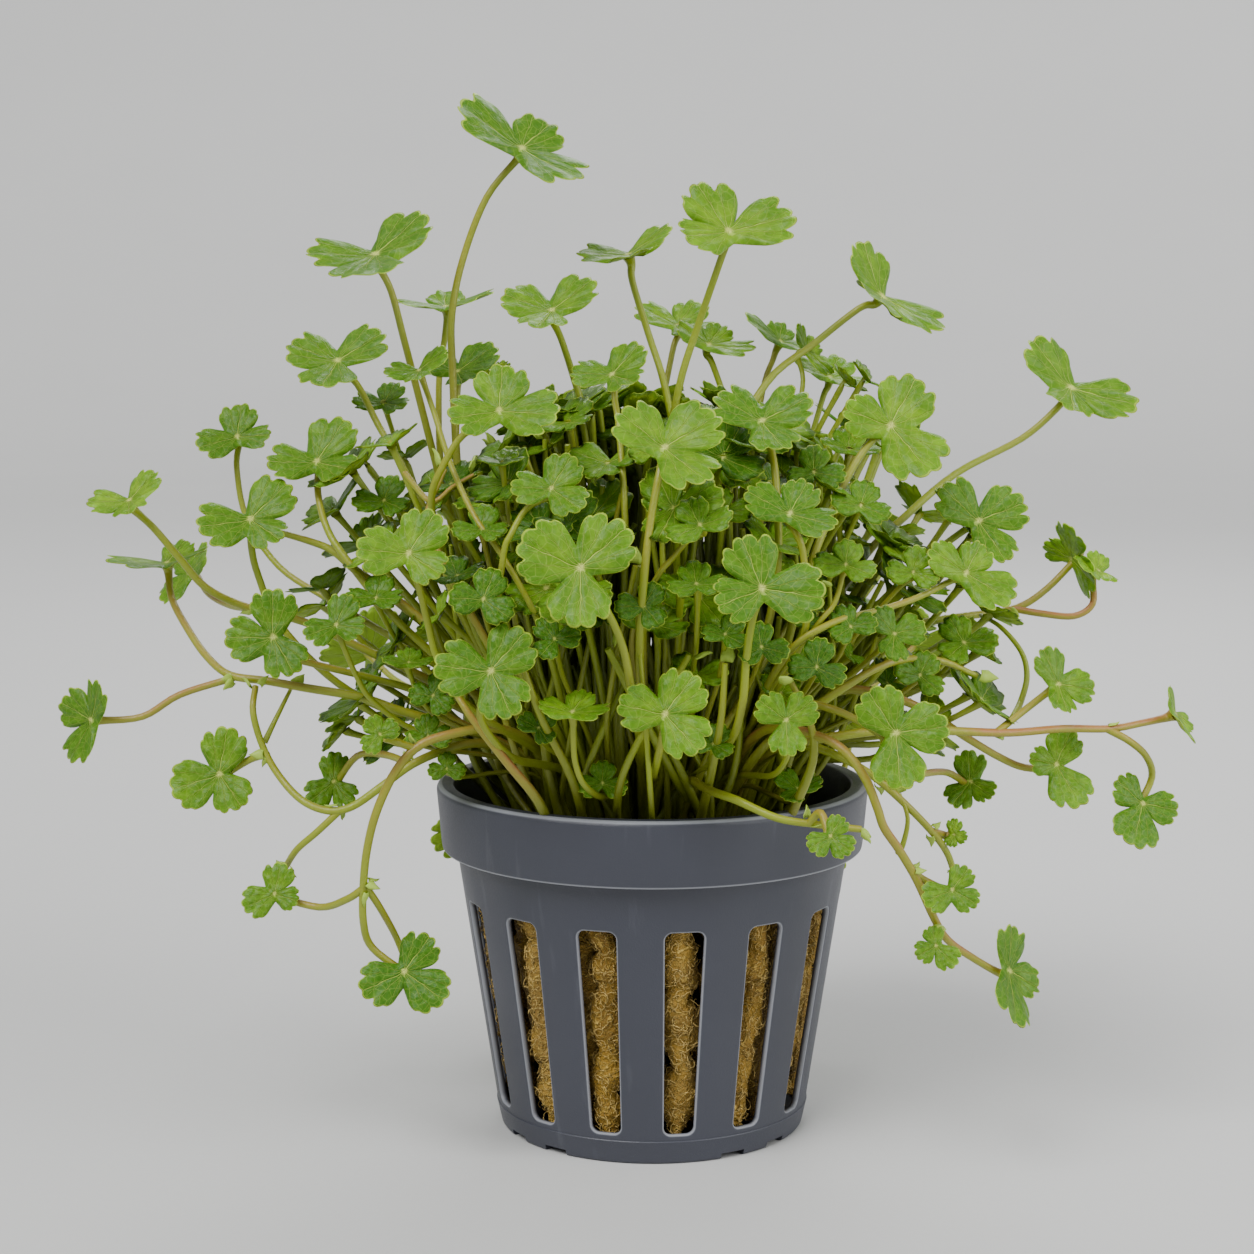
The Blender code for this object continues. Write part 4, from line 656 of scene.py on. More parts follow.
def new_group(name, inputs, outputs):
    """A shader group with its inputs and their defaults, and its outputs: all but Vector are values."""
    tree = bpy.data.node_groups.new(name, "ShaderNodeTree")
    tree.interface.new_socket("Vector", in_out="INPUT", socket_type="NodeSocketVector")
    for label, default in inputs.items():
        socket = tree.interface.new_socket(label, in_out="INPUT", socket_type="NodeSocketFloat")
        socket.default_value = default
    for label in outputs:
        tree.interface.new_socket(label, in_out="OUTPUT", socket_type="NodeSocketFloat")
    return tree, tree.nodes.new("NodeGroupInput").outputs, tree.nodes.new("NodeGroupOutput")


def mottle_group(name):
    """Soft patches and fine grain that vary a colour and lift a surface."""
    tree, given, end = new_group(name, {"Patch Scale": 120.0, "Grain Scale": 900.0}, ("Patches", "Grain"))
    patches = add_node(tree, "ShaderNodeTexNoise")
    feed(tree, patches, Vector=given["Vector"], Scale=given["Patch Scale"], Detail=3.0, Roughness=0.55)
    grain = add_node(tree, "ShaderNodeTexNoise")
    feed(tree, grain, Vector=given["Vector"], Scale=given["Grain Scale"], Detail=2.0, Roughness=0.6)
    feed(tree, end, Patches=ramp_to(tree, patches.outputs["Fac"], 0.3, 0.7),
         Grain=ramp_to(tree, grain.outputs["Fac"], 0.25, 0.75))
    return tree


def heart_group(name):
    """How deep a place lies in the heart of the plant, where little light comes in."""
    tree, given, end = new_group(name, {}, ("Depth",))
    tall = HEART_HIGH - HEART_MIDDLE
    scale = (1 / HEART_RADIUS, 1 / HEART_RADIUS, 1 / tall)
    inward = vector_maths(tree, "MULTIPLY_ADD", given["Vector"], scale, (0.0, 0.0, -HEART_MIDDLE / tall))
    feed(tree, end, Depth=ramp_to(tree, vector_maths(tree, "LENGTH", inward), *HEART_SHADE))
    return tree


def vein_line(tree, spot, reach, first, second, slant, half_width, strength):
    """One straight vein of a lobe, from its start outwards, thinner towards the margin."""
    offset = vector_maths(tree, "SUBTRACT", spot, (first, second, 0.0))
    ahead = (cos(radians(slant)), sin(radians(slant)), 0.0)
    run = vector_maths(tree, "DOT_PRODUCT", offset, ahead)
    miss = vector_maths(tree, "DOT_PRODUCT", offset, (-ahead[1], ahead[0], 0.0))
    taper = maths(tree, "MULTIPLY_ADD", reach, -VEIN_TAPER * half_width, half_width)
    line = ramp_to(tree, maths(tree, "DIVIDE", maths(tree, "ABSOLUTE", miss), taper), 1.0, 0.1)
    return maths(tree, "MULTIPLY", line, ramp_to(tree, run, -0.01, 0.01, 0.0, strength))


def vein_group(name):
    """Vein network of a leaf on its own map, whose middle is the hub and whose half side is its radius."""
    tree, given, end = new_group(name, {"Waver": 0.05}, ("Veins", "Net", "Quilt", "Hub"))
    sway = feed(tree, add_node(tree, "ShaderNodeTexNoise"), Vector=given["Vector"], Scale=7.0, Detail=1.0)
    centred = vector_maths(tree, "SUBTRACT", sway.outputs["Color"], (0.5, 0.5, 0.5))
    swayed = add_node(tree, "ShaderNodeVectorMath", operation="SCALE")
    feed(tree, swayed, i0=centred, Scale=given["Waver"])
    moved = vector_maths(tree, "ADD", given["Vector"], swayed.outputs["Vector"])
    from_hub = vector_maths(tree, "MULTIPLY_ADD", moved, (2.0, 2.0, 0.0), (-1.0, -1.0, 0.0))
    split = parts_of(tree, from_hub)
    fold = maths(tree, "PINGPONG", maths(tree, "ARCTAN2", split["X"], split["Y"]), LOBE_TURN / 2)
    reach = vector_maths(tree, "LENGTH", from_hub)
    spot = feed(tree, add_node(tree, "ShaderNodeCombineXYZ"),
                X=maths(tree, "MULTIPLY", reach, maths(tree, "COSINE", fold)),
                Y=maths(tree, "MULTIPLY", reach, maths(tree, "SINE", fold)))
    veins = 0.0
    for vein in VEINS:
        veins = maths(tree, "MAXIMUM", veins, vein_line(tree, spot.outputs[0], reach, *vein))
    veins = maths(tree, "MULTIPLY", veins, ramp_to(tree, reach, VEIN_REACH, 0.8, 0.0, 1.0))
    cells = add_node(tree, "ShaderNodeTexVoronoi", feature="DISTANCE_TO_EDGE", voronoi_dimensions="2D")
    feed(tree, cells, Vector=moved, Scale=NET_SCALE)
    broad = add_node(tree, "ShaderNodeTexVoronoi", feature="SMOOTH_F1", voronoi_dimensions="2D")
    feed(tree, broad, Vector=moved, Scale=QUILT_SCALE)
    quilt = maths(tree, "SUBTRACT", maths(tree, "SUBTRACT", 1.0, broad.outputs["Distance"]), veins)
    feed(tree, end, Veins=veins, Net=ramp_to(tree, cells.outputs["Distance"], 0.07, 0.0), Quilt=quilt,
         Hub=ramp_to(tree, reach, 0.085, 0.02))
    return tree


# Materials

def new_material(name):
    material = bpy.data.materials.new(name)
    material.use_nodes = True
    return material, material.node_tree, material.node_tree.nodes["Principled BSDF"]


def material_named(name, build, settings):
    return bpy.data.materials.get(name) or build(settings)


def attribute(tree, name):
    return add_node(tree, "ShaderNodeAttribute", attribute_name=name).outputs["Fac"]


def object_place(tree):
    return add_node(tree, "ShaderNodeTexCoord").outputs["Object"]


def mottle(tree, vector, patch_scale, grain_scale):
    node = add_node(tree, "ShaderNodeGroup", node_tree=group_named("Mottle", mottle_group))
    feed(tree, node, Vector=vector, Patch_Scale=patch_scale, Grain_Scale=grain_scale)
    return node.outputs["Patches"], node.outputs["Grain"]


def shaded_by_heart(tree, colour, shade):
    """Darkens a colour in the heart of the plant."""
    node = add_node(tree, "ShaderNodeGroup", node_tree=group_named("Heart Depth", heart_group))
    feed(tree, node, Vector=object_place(tree))
    return tint(tree, node.outputs["Depth"], HEART_STRENGTH, colour, shade)


def raise_surface(tree, shader, height, distance, strength=1.0):
    bump = feed(tree, add_node(tree, "ShaderNodeBump"), Height=height, Distance=distance, Strength=strength)
    put(tree, shader.inputs["Normal"], bump.outputs["Normal"])


def leaf_material(plant):
    """Blade of a leaf: patchy green, pale veins, hub and margin, a paler underside and painted shade between
    veins.
    """
    material, tree, shader = new_material("leaf_blade")
    veins = add_node(tree, "ShaderNodeGroup", node_tree=group_named("Leaf Veins", vein_group))
    map_place = add_node(tree, "ShaderNodeUVMap", uv_map="leaf_map").outputs["UV"]
    feed(tree, veins, Vector=map_place, Waver=0.05)
    patches, grain = mottle(tree, object_place(tree), 260.0, 2600.0)
    tone = attribute(tree, "tone")
    reach = attribute(tree, "reach")
    under = ramp_to(tree, attribute(tree, "under"), 0.45, 0.75)
    pale = tuple(plant.vein)
    blade = mix_colours(tree, tone, tuple(plant.deep_green), tuple(plant.fresh_green))
    outer = maths(tree, "MULTIPLY", ramp_to(tree, reach, 0.45, 1.0, 0.0, 0.45),
                  maths(tree, "MULTIPLY_ADD", tone, 1.2, 0.3))
    blade = mix_colours(tree, outer, blade, OUTER_GREEN)
    blade = tint(tree, patches, 0.50, blade, PATCH_GREEN)
    blade = tint(tree, grain, 0.18, blade, GRAIN_GREEN)
    # Painted shade between the veins, where the blade puckers
    quilt_shade = ramp_to(tree, veins.outputs["Quilt"], 0.35, 0.75, 0.0, 0.36)
    blade = mix_colours(tree, quilt_shade, blade, QUILT_SHADE_GREEN)
    blade = tint(tree, veins.outputs["Net"], 0.17, blade, pale)
    blade = tint(tree, veins.outputs["Veins"], 0.80, blade, pale)
    blade = mix_colours(tree, veins.outputs["Hub"], blade, HUB_PALE)
    blade = mix_colours(tree, ramp_to(tree, reach, *MARGIN, 0.0, 0.85), blade, MARGIN_PALE)
    below = mix_colours(tree, tone, UNDER_DEEP, UNDER_FRESH)
    below = tint(tree, veins.outputs["Veins"], 0.5, below, pale)
    blade = shaded_by_heart(tree, mix_colours(tree, under, blade, below), LEAF_SHADE)
    put(tree, shader.inputs["Base Color"], blade)
    rough = maths(tree, "MULTIPLY_ADD", under, 0.2, maths(tree, "MULTIPLY_ADD", grain, 0.14, 0.34))
    put(tree, shader.inputs["Roughness"], rough)
    shader.inputs["Specular IOR Level"].default_value = 0.22
    height = maths(tree, "MULTIPLY_ADD", veins.outputs["Quilt"], 1.0, maths(tree, "MULTIPLY", grain, 0.12))
    raise_surface(tree, shader, height, 0.22 * MM, 0.9)
    return material


def stem_material(plant):
    """Skin of a stem: green where it is young or shaded, tan where old, more so on its upper side as painted
    light.
    """
    material, tree, shader = new_material("stem_skin")
    place = object_place(tree)
    patches, grain = mottle(tree, place, 75.0, 2200.0)
    facing = parts_of(tree, add_node(tree, "ShaderNodeNewGeometry").outputs["Normal"])
    # Painted light: an old stem's upper side takes more of its tan than its underside
    lit = maths(tree, "MULTIPLY_ADD", ramp_to(tree, facing["Z"], -0.25, 0.75), 0.6, 0.4)
    tan_and_lit_side = maths(tree, "MULTIPLY", maths(tree, "POWER", attribute(tree, "tone"), 1.4), lit)
    tan_and_lit_side = maths(tree, "MULTIPLY", tan_and_lit_side, maths(tree, "MULTIPLY_ADD", patches, 1.1, 0.25))
    skin = mix_colours(tree, tan_and_lit_side, tuple(plant.stem_green), tuple(plant.stem_tan))
    skin = tint(tree, grain, 0.25, skin, STEM_GRAIN)
    # Painted shade: darker low down over the pot's mouth, among the crowded stems
    over_pot = ramp_to(tree, vector_maths(tree, "LENGTH", from_axis(tree, place)), *FOOT_SHADE_SPREAD, 1.0, 0.0)
    low = ramp_to(tree, parts_of(tree, place)["Z"], *FOOT_SHADE_RISE, 0.0, 0.75)
    skin = tint(tree, low, over_pot, skin, STEM_FOOT_SHADE)
    put(tree, shader.inputs["Base Color"], shaded_by_heart(tree, skin, STEM_SHADE))
    put(tree, shader.inputs["Roughness"], maths(tree, "MULTIPLY_ADD", grain, 0.16, 0.36))
    raise_surface(tree, shader, maths(tree, "ADD", grain, patches), 0.05 * MM, 0.6)
    return material


def whorled_threads(tree, place, scale, count):
    """Thin pale lines that curl like combed hair, along the contours of a soft noise."""
    contours = add_node(tree, "ShaderNodeTexNoise")
    feed(tree, contours, Vector=place, Scale=scale, Detail=1.0, Distortion=0.8)
    wave = maths(tree, "PINGPONG", maths(tree, "MULTIPLY", contours.outputs["Fac"], count), 0.5)
    return ramp_to(tree, wave, 0.02, 0.15, 1.0, 0.0)


def wool_material(pot):
    """Matted golden fibres: painted shade down in the gaps, pale where single threads catch the light."""
    material, tree, shader = new_material("wool_thread")
    place = object_place(tree)
    patches, grain = mottle(tree, place, 260.0, 1700.0)
    wool = mix_colours(tree, patches, WOOL_DARK, tuple(pot.wool))
    fine = maths(tree, "MULTIPLY", whorled_threads(tree, place, 420.0, 9.0), 0.7)
    threads = maths(tree, "MAXIMUM", whorled_threads(tree, place, 230.0, 11.0), fine)
    wool = tint(tree, threads, maths(tree, "MULTIPLY_ADD", grain, 0.7, 0.15), wool, WOOL_LIT)
    wool = mix_colours(tree, attribute(tree, "tone"), wool, WOOL_LOOSE)
    # Painted shade: the deeper the wool lies inside the pot's wall, the nearer it goes to black
    out = maths(tree, "SUBTRACT", vector_maths(tree, "LENGTH", from_axis(tree, place)),
                maths(tree, "MULTIPLY", parts_of(tree, place)["Z"], WALL_FLARE))
    wool = mix_colours(tree, ramp_to(tree, out, *WOOL_SHADE_DEPTHS, 0.88, 0.0), wool, WOOL_GAP_SHADE)
    put(tree, shader.inputs["Base Color"], wool)
    shader.inputs["Roughness"].default_value = 0.62
    shader.inputs["Specular IOR Level"].default_value = 0.35
    raise_surface(tree, shader, maths(tree, "ADD", threads, grain), 0.30 * MM, 1.0)
    return material


def pot_material(pot):
    """Moulded satin plastic, with a fine sand finish, faint flow marks and painted highlights on slot edges
    and lips.
    """
    material, tree, shader = new_material("satin_plastic")
    place = object_place(tree)
    patches, grain = mottle(tree, place, 70.0, 5200.0)
    colour = tuple(pot.plastic)
    plastic = tint(tree, patches, 0.35, colour, tuple(1.25 * part for part in colour))
    stretched = feed(tree, add_node(tree, "ShaderNodeMapping"), Vector=place, Scale=(1.0, 1.0, 0.12))
    flow = add_node(tree, "ShaderNodeTexNoise")
    feed(tree, flow, Vector=stretched.outputs[0], Scale=420.0, Detail=4.0)
    marks = ramp_to(tree, flow.outputs["Fac"], 0.60, 0.78, 0.0, 0.25)
    plastic = mix_colours(tree, marks, plastic, FLOW_GREY)
    # Painted highlight: paler grey where the slots' outer edges and the collar's lips are marked
    plastic = tint(tree, attribute(tree, "edge"), 0.55, plastic, EDGE_HIGHLIGHT_GREY)
    put(tree, shader.inputs["Base Color"], plastic)
    sanded = maths(tree, "MULTIPLY_ADD", grain, 0.08, pot.roughness)
    put(tree, shader.inputs["Roughness"], maths(tree, "MULTIPLY_ADD", patches, 0.10, sanded))
    raise_surface(tree, shader, grain, 0.02 * MM, 0.5)
    return material


def floor_material(studio):
    """Plain pale floor, very faintly clouded."""
    material, tree, shader = new_material("pale_floor")
    patches, grain = mottle(tree, object_place(tree), 6.0, 900.0)
    pale = tuple(studio.floor)
    duller = tuple(0.94 * part for part in pale)
    put(tree, shader.inputs["Base Color"], tint(tree, patches, 0.3, pale, duller))
    put(tree, shader.inputs["Roughness"], maths(tree, "MULTIPLY_ADD", grain, 0.1, 0.6))
    return material


# Shapes of the plant

def seen_at(reading):
    """Place of a reading (right, up, toward) on the sheet, and how much nearer than the sheet it is."""
    right, up, toward = reading
    on_sheet = MOUTH + SHEET_RIGHT * right * MM + SHEET_UP * (up - MOUTH_READING) * MM
    sight = on_sheet - EYE
    share = (-toward * MM - EYE.y) / sight.y
    return EYE + sight * share, share


def leaf_frame(spec):
    """Hub, unit axes (across, along the middle lobe, upper face) and real radius of a leaf."""
    hub, share = seen_at(spec.hub)
    tip = radians(spec.tip)
    lean = radians(spec.tip_to)
    face = (SHEET_RIGHT * cos(lean) + SHEET_UP * sin(lean)) * sin(tip) + SHEET_TOWARD * cos(tip)
    mid = radians(spec.mid)
    flat = SHEET_RIGHT * cos(mid) + SHEET_UP * sin(mid)
    along = flat - SHEET_TOWARD * (flat.dot(face) / face.dot(SHEET_TOWARD))
    along.normalize()
    return hub, along.cross(face), along, face, spec.radius * MM * share


def limited(value, limits):
    return min(max(value, limits[0]), limits[1])


def seen_lobes(spec, cup):
    """Turn from the middle axis and length of each lobe, worked back from how it is seen."""
    hub, across, along, face, radius = leaf_frame(spec)
    right_across, right_along = across.dot(SHEET_RIGHT), along.dot(SHEET_RIGHT)
    up_across, up_along = across.dot(SHEET_UP), along.dot(SHEET_UP)
    spread = right_across * up_along - right_along * up_across
    placed = []
    for direction, length in spec.lobes:
        reach = length
        for attempt in range(LOBE_TRIES):
            rise = cup * reach ** CUP_CURVE
            right = length * cos(radians(direction)) - rise * face.dot(SHEET_RIGHT)
            up = length * sin(radians(direction)) - rise * face.dot(SHEET_UP)
            sideways = (right * up_along - up * right_along) / spread
            outwards = (up * right_across - right * up_across) / spread
            reach = limited(hypot(sideways, outwards), LOBE_LENGTHS)
        placed.append((atan2(-sideways, outwards), reach))
    first, middle, last = placed
    before = (middle[0] - first[0]) % (2 * pi)
    after = (last[0] - middle[0]) % (2 * pi)
    if before + after > 2 * pi:
        first, last = last, first
        before, after = 2 * pi - after, 2 * pi - before
    before, after = limited(before, LOBE_GAPS), limited(after, LOBE_GAPS)
    return [(middle[0] - before, first[1]), middle, (middle[0] + after, last[1])]


class Growth:
    """Vertices, faces and marks of the blades and stem lines that make one piece."""

    def __init__(self):
        self.verts = []
        self.faces = []
        self.map = []
        self.marks = {"reach": [], "under": [], "tone": []}
        self.strands = []

    def strand(self, path, radii, tone):
        self.strands.append((path, radii, tone))


def cusp(share, count):
    """One at the notches between rounded teeth, falling to nothing at the middle of each."""
    return 1.0 - abs(sin(pi * count * (share + 1.0) / 2))


def grow_blade(growth, spec, plant, rng, detail="full"):
    """Adds a leaf's blade: a shallow funnel drawn out to three toothed lobes, with a thin closed body."""
    hub, across, along, face, radius = leaf_frame(spec)
    tooth_steps, rings = BLADE_DETAIL[detail]
    rays = tooth_steps * SUB_LOBES * TEETH
    cup = spec.cup if spec.cup is not None else CUP_FACING + CUP_TIPPED * sin(radians(spec.tip))
    if spec.lobes:
        lobes = seen_lobes(spec, cup)
    else:
        lobes = [((k - 1) * rng.uniform(1.75, 2.1), rng.uniform(0.9, 1.02)) for k in range(LOBES)]
    centres = [turn for turn, length in lobes]
    halves = [(centres[0] + 2 * pi - centres[-1]) / 2]
    halves += [(far - near) / 2 for near, far in zip(centres, centres[1:])]
    notches = [NOTCH_REACH + rng.uniform(-0.05, 0.05) for half in halves]
    notches[halves.index(max(halves))] = BASE_NOTCH_REACH + rng.uniform(-0.03, 0.03)
    openness = [rng.uniform(2.3, 3.4) for half in halves]
    for around in (halves, notches, openness):
        around.append(around[0])
    outline = []
    for k, (centre, (turn, length)) in enumerate(zip(centres, lobes)):
        sub_depth = [plant.sub_lobe_depth * rng.uniform(0.5, 1.3) for side in range(2)]
        warp = rng.uniform(-0.06, 0.06)
        lift = rng.uniform(-0.05, 0.06)
        phase = rng.uniform(0.0, 2 * pi)
        for step in range(rays):
            share = 2 * step / rays - 1
            share += warp * (1 - share * share)
            side = k if share < 0 else k + 1
            angle = centre + share * (min(LOBE_HALF_ANGLE, halves[side]) if step else halves[side])
            shoulder = sqrt(max(0.0, 1.0 - abs(share) ** openness[side]))
            reach = notches[side] + (length - notches[side]) * shoulder
            free = min(1.0, 2.2 * shoulder)
            sub = cusp(share, SUB_LOBES) ** 2.5 * sub_depth[0 if share < 0 else 1]
            tooth = cusp(share, SUB_LOBES * TEETH) ** 1.6 * plant.tooth_depth
            reach -= free * length * ((sub if abs(share) < 0.85 else 0.0) + tooth)
            outline.append((angle, reach, (k - 1) * LOBE_TURN + share * LOBE_TURN / 2, share, lift, phase))
    count = len(outline)
    sides = []
    for side, levels in ((1.0, rings), (-1.0, rings[1:-1:2])):
        sides.append(len(growth.verts))
        growth.verts.append(hub + face * plant.leaf_thickness / 2 * side)
        growth.map.append((0.5, 0.5))
        mark(growth, 0.0, 0.0 if side > 0 else 1.0, spec.tone)
        for ring in levels:
            body = plant.leaf_thickness / 2 * (1.0 - ring ** 5) * side
            for angle, reach, own, share, lift, phase in outline:
                spread = ring * reach
                rise = cup * spread ** CUP_CURVE
                rise += lift * spread
                rise -= 0.045 * (EASE_OFF ** -((share / 0.10) ** 2)) * ring * (1.2 - ring)
                rise -= 0.080 * share * share * ring ** 2
                rise += 0.028 * ring ** 3 * sin(SUB_LOBES * pi * share + phase)
                rise -= 0.10 * max(0.0, spread - 0.78)
                spot = across * -sin(angle) * spread + along * cos(angle) * spread + face * rise
                growth.verts.append(hub + spot * radius + face * body)
                growth.map.append((0.5 - 0.5 * spread * sin(own), 0.5 + 0.5 * spread * cos(own)))
                mark(growth, ring, (1.0 - side) / 2 if ring < 1.0 else 0.4, spec.tone)
    top, bottom = sides
    upper = [top + 1 + level * count for level in range(len(rings))]
    lower = [bottom + 1 + level * count for level in range(len(rings[1:-1:2]))] + [upper[-1]]
    for step in range(count):
        after = (step + 1) % count
        growth.faces.append((top, upper[0] + step, upper[0] + after))
        growth.faces.append((bottom, lower[0] + after, lower[0] + step))
        for near, far in zip(upper, upper[1:]):
            growth.faces.append((near + step, far + step, far + after, near + after))
        for near, far in zip(lower, lower[1:]):
            growth.faces.append((near + step, near + after, far + after, far + step))


def mark(growth, reach, under, tone):
    growth.marks["reach"].append(reach)
    growth.marks["under"].append(under)
    growth.marks["tone"].append(tone)


def smooth_route(points, spans=5):
    """Points along a rounded curve through the given ones."""
    ends = [points[0] * 2 - points[1]] + list(points) + [points[-1] * 2 - points[-2]]
    path = []
    for before, start, end, after in zip(ends, ends[1:], ends[2:], ends[3:]):
        square = 2 * before - 5 * start + 4 * end - after
        cube = 3 * start - before - 3 * end + after
        for step in range(spans):
            t = step / spans
            path.append(0.5 * (2 * start + (end - before) * t + square * t ** 2 + cube * t ** 3))
    path.append(points[-1])
    return path


def down_to_crown(last, before=None):
    """An easy curve from a place on a stem down to where it comes out of the wool, and a point below."""
    spread = min(1.0, CROWN_RADIUS / hypot(last.x, last.y))
    crown = Vector((last.x * spread, last.y * spread, CROWN_Z))
    root = Vector((crown.x * 0.85, crown.y * 0.85, ROOT_Z))
    drop = (last - crown).length
    if drop < 9 * MM:
        return [crown, root]
    ahead = (last - before).normalized() if before else Vector((0.0, 0.0, -1.0))
    near = last + ahead * 0.35 * drop
    far = crown + (crown - root).normalized() * 0.35 * drop
    bend = []
    for share in (0.25, 0.5, 0.75):
        rest = 1.0 - share
        leaving = last * rest ** 3 + near * 3 * rest ** 2 * share
        bend.append(leaving + far * 3 * rest * share ** 2 + crown * share ** 3)
    return bend + [crown, root]


def stalk_radii(path, top, foot, funnel):
    """Radii along a stalk from its hub down: a short funnel under the blade, then a slow swelling."""
    radii = []
    run = 0.0
    whole = sum((end - start).length for start, end in zip(path, path[1:]))
    for index, spot in enumerate(path):
        if index:
            run += (spot - path[index - 1]).length
        radii.append(top + (foot - top) * run / whole + funnel * EASE_OFF ** -(run / (0.9 * MM)))
    return radii


def grow_stalk(growth, spec, plant, brown):
    """Adds a leaf's stalk, from under its hub along its route and down into the wool."""
    hub, across, along, face, radius = leaf_frame(spec)
    places = [hub - face * HUB_SINK, hub - face * HUB_DROP]
    places += [seen_at(reading)[0] for reading in spec.route]
    path = smooth_route(places + down_to_crown(places[-1], places[-2]))
    slim = plant.stalk_radius * min(1.0, 0.35 + radius / (11.0 * MM))
    growth.strand(path, stalk_radii(path, slim * STALK_TOP, slim * 1.15, slim * 0.95), brown)


def grow_bract(growth, place, ahead, size, rng):
    """Adds a small pointed scale at a joint of a stem, a closed scoop of a few faces."""
    ahead = ahead.normalized()
    side = ahead.orthogonal().normalized()
    side.rotate(Matrix.Rotation(rng.uniform(0.0, 2 * pi), 3, ahead))
    out = side.cross(ahead)
    base = len(growth.verts)
    rows = ((0.0, 0.42, 0.0), (0.35, 0.52, 0.28), (0.7, 0.34, 0.50), (1.0, 0.04, 0.85))
    for layer in (1.0, -1.0):
        for rise, half, lean in rows:
            for across in (-1.0, -0.4, 0.4, 1.0):
                spot = ahead * rise + side * half * across + out * (lean + 0.28 * (1 - abs(across)) + 0.45)
                growth.verts.append(place + (spot + out * 0.05 * layer) * size)
                growth.map.append((0.5, 0.9))
                mark(growth, 0.2, 0.0, 0.7)
    last = len(rows) - 1
    for row in range(last):
        for column in range(3):
            near = base + row * 4 + column
            growth.faces.append((near, near + 1, near + 5, near + 4))
            far = near + 16
            growth.faces.append((far, far + 4, far + 5, far + 1))
    rim = [0, 1, 2, 3, 7, 11, 15, 14, 13, 12, 8, 4]
    for start, end in zip(rim, rim[1:] + rim[:1]):
        growth.faces.append((base + end, base + start, base + start + 16, base + end + 16))


# Geometry Nodes

def new_tree(name, inputs):
    """A modifier tree with named inputs, and its start and end nodes."""
    tree = bpy.data.node_groups.new(name, "GeometryNodeTree")
    tree.is_modifier = True
    tree.interface.new_socket("Geometry", in_out="INPUT", socket_type="NodeSocketGeometry")
    for label, kind, default in inputs:
        socket = tree.interface.new_socket(label, in_out="INPUT", socket_type=kind)
        if default is not None:
            socket.default_value = default
    tree.interface.new_socket("Geometry", in_out="OUTPUT", socket_type="NodeSocketGeometry")
    return tree, tree.nodes.new("NodeGroupInput").outputs, tree.nodes.new("NodeGroupOutput")


def named(tree, name, kind="FLOAT"):
    node = add_node(tree, "GeometryNodeInputNamedAttribute", data_type=kind)
    return feed(tree, node, Name=name).outputs["Attribute"]


def swept(tree, lines, sides, radius, **sources):
    """Lines swept into round stems with closed ends."""
    profile = feed(tree, add_node(tree, "GeometryNodeCurvePrimitiveCircle"), Resolution=sides, Radius=radius)
    sweep = add_node(tree, "GeometryNodeCurveToMesh")
    feed(tree, sweep, Curve=lines, Profile_Curve=profile.outputs["Curve"], Fill_Caps=True, **sources)
    return sweep.outputs["Mesh"]


def realized(tree, geometry):
    return feed(tree, add_node(tree, "GeometryNodeRealizeInstances"), Geometry=geometry).outputs[0]


def coated(tree, geometry, material, **sources):
    node = add_node(tree, "GeometryNodeSetMaterial")
    return feed(tree, node, Geometry=geometry, Material=material, **sources).outputs[0]


def stems_tree(name):
    """Sweeps every line of a mesh into a round stem, joins the blades and gives both their materials."""
    tree, given, end = new_tree(name, (
        ("Sides", "NodeSocketInt", 8), ("Blades", "NodeSocketObject", None),
        ("Stem Material", "NodeSocketMaterial", None), ("Leaf Material", "NodeSocketMaterial", None)))
    lines = feed(tree, add_node(tree, "GeometryNodeMeshToCurve"), Mesh=given["Geometry"])
    stems = swept(tree, lines.outputs[0], given["Sides"], 1.0, Scale=named(tree, "thickness"))
    smooth = feed(tree, add_node(tree, "GeometryNodeSetShadeSmooth"), Geometry=stems)
    blades = feed(tree, add_node(tree, "GeometryNodeObjectInfo"), Object=given["Blades"])
    both = add_node(tree, "GeometryNodeJoinGeometry")
    tree.links.new(blades.outputs["Geometry"], both.inputs[0])
    tree.links.new(smooth.outputs[0], both.inputs[0])
    leafy = add_node(tree, "FunctionNodeCompare", data_type="FLOAT")
    leafy = feed(tree, leafy, A=named(tree, "leafy"), B=0.5)
    skin = coated(tree, realized(tree, both.outputs[0]), given["Stem Material"])
    feed(tree, end, i0=coated(tree, skin, given["Leaf Material"], Selection=leafy.outputs[0]))
    return tree


def scatter_tree(name):
    """Sets small leaves on points that carry their own direction, spin and size."""
    tree, given, end = new_tree(name, (
        ("Leaves", "NodeSocketCollection", None), ("Material", "NodeSocketMaterial", None)))
    points = feed(tree, add_node(tree, "GeometryNodeMeshToPoints"), Mesh=given["Geometry"])
    kinds = add_node(tree, "GeometryNodeCollectionInfo")
    feed(tree, kinds, Collection=given["Leaves"], Separate_Children=True, Reset_Children=True)
    aim = add_node(tree, "FunctionNodeAlignRotationToVector", axis="Z")
    feed(tree, aim, Vector=named(tree, "facing", "FLOAT_VECTOR"))
    spin = add_node(tree, "FunctionNodeAxisAngleToRotation")
    feed(tree, spin, Axis=(0.0, 0.0, 1.0), Angle=named(tree, "spin"))
    turned = add_node(tree, "FunctionNodeRotateRotation", rotation_space="LOCAL")
    feed(tree, turned, Rotation=aim.outputs[0], Rotate_By=spin.outputs[0])
    copies = add_node(tree, "GeometryNodeInstanceOnPoints")
    feed(tree, copies, Points=points.outputs[0], Instance=kinds.outputs[0], Pick_Instance=True,
         Rotation=turned.outputs[0], Scale=named(tree, "size"))
    feed(tree, end, i0=coated(tree, realized(tree, copies.outputs[0]), given["Material"]))
    return tree


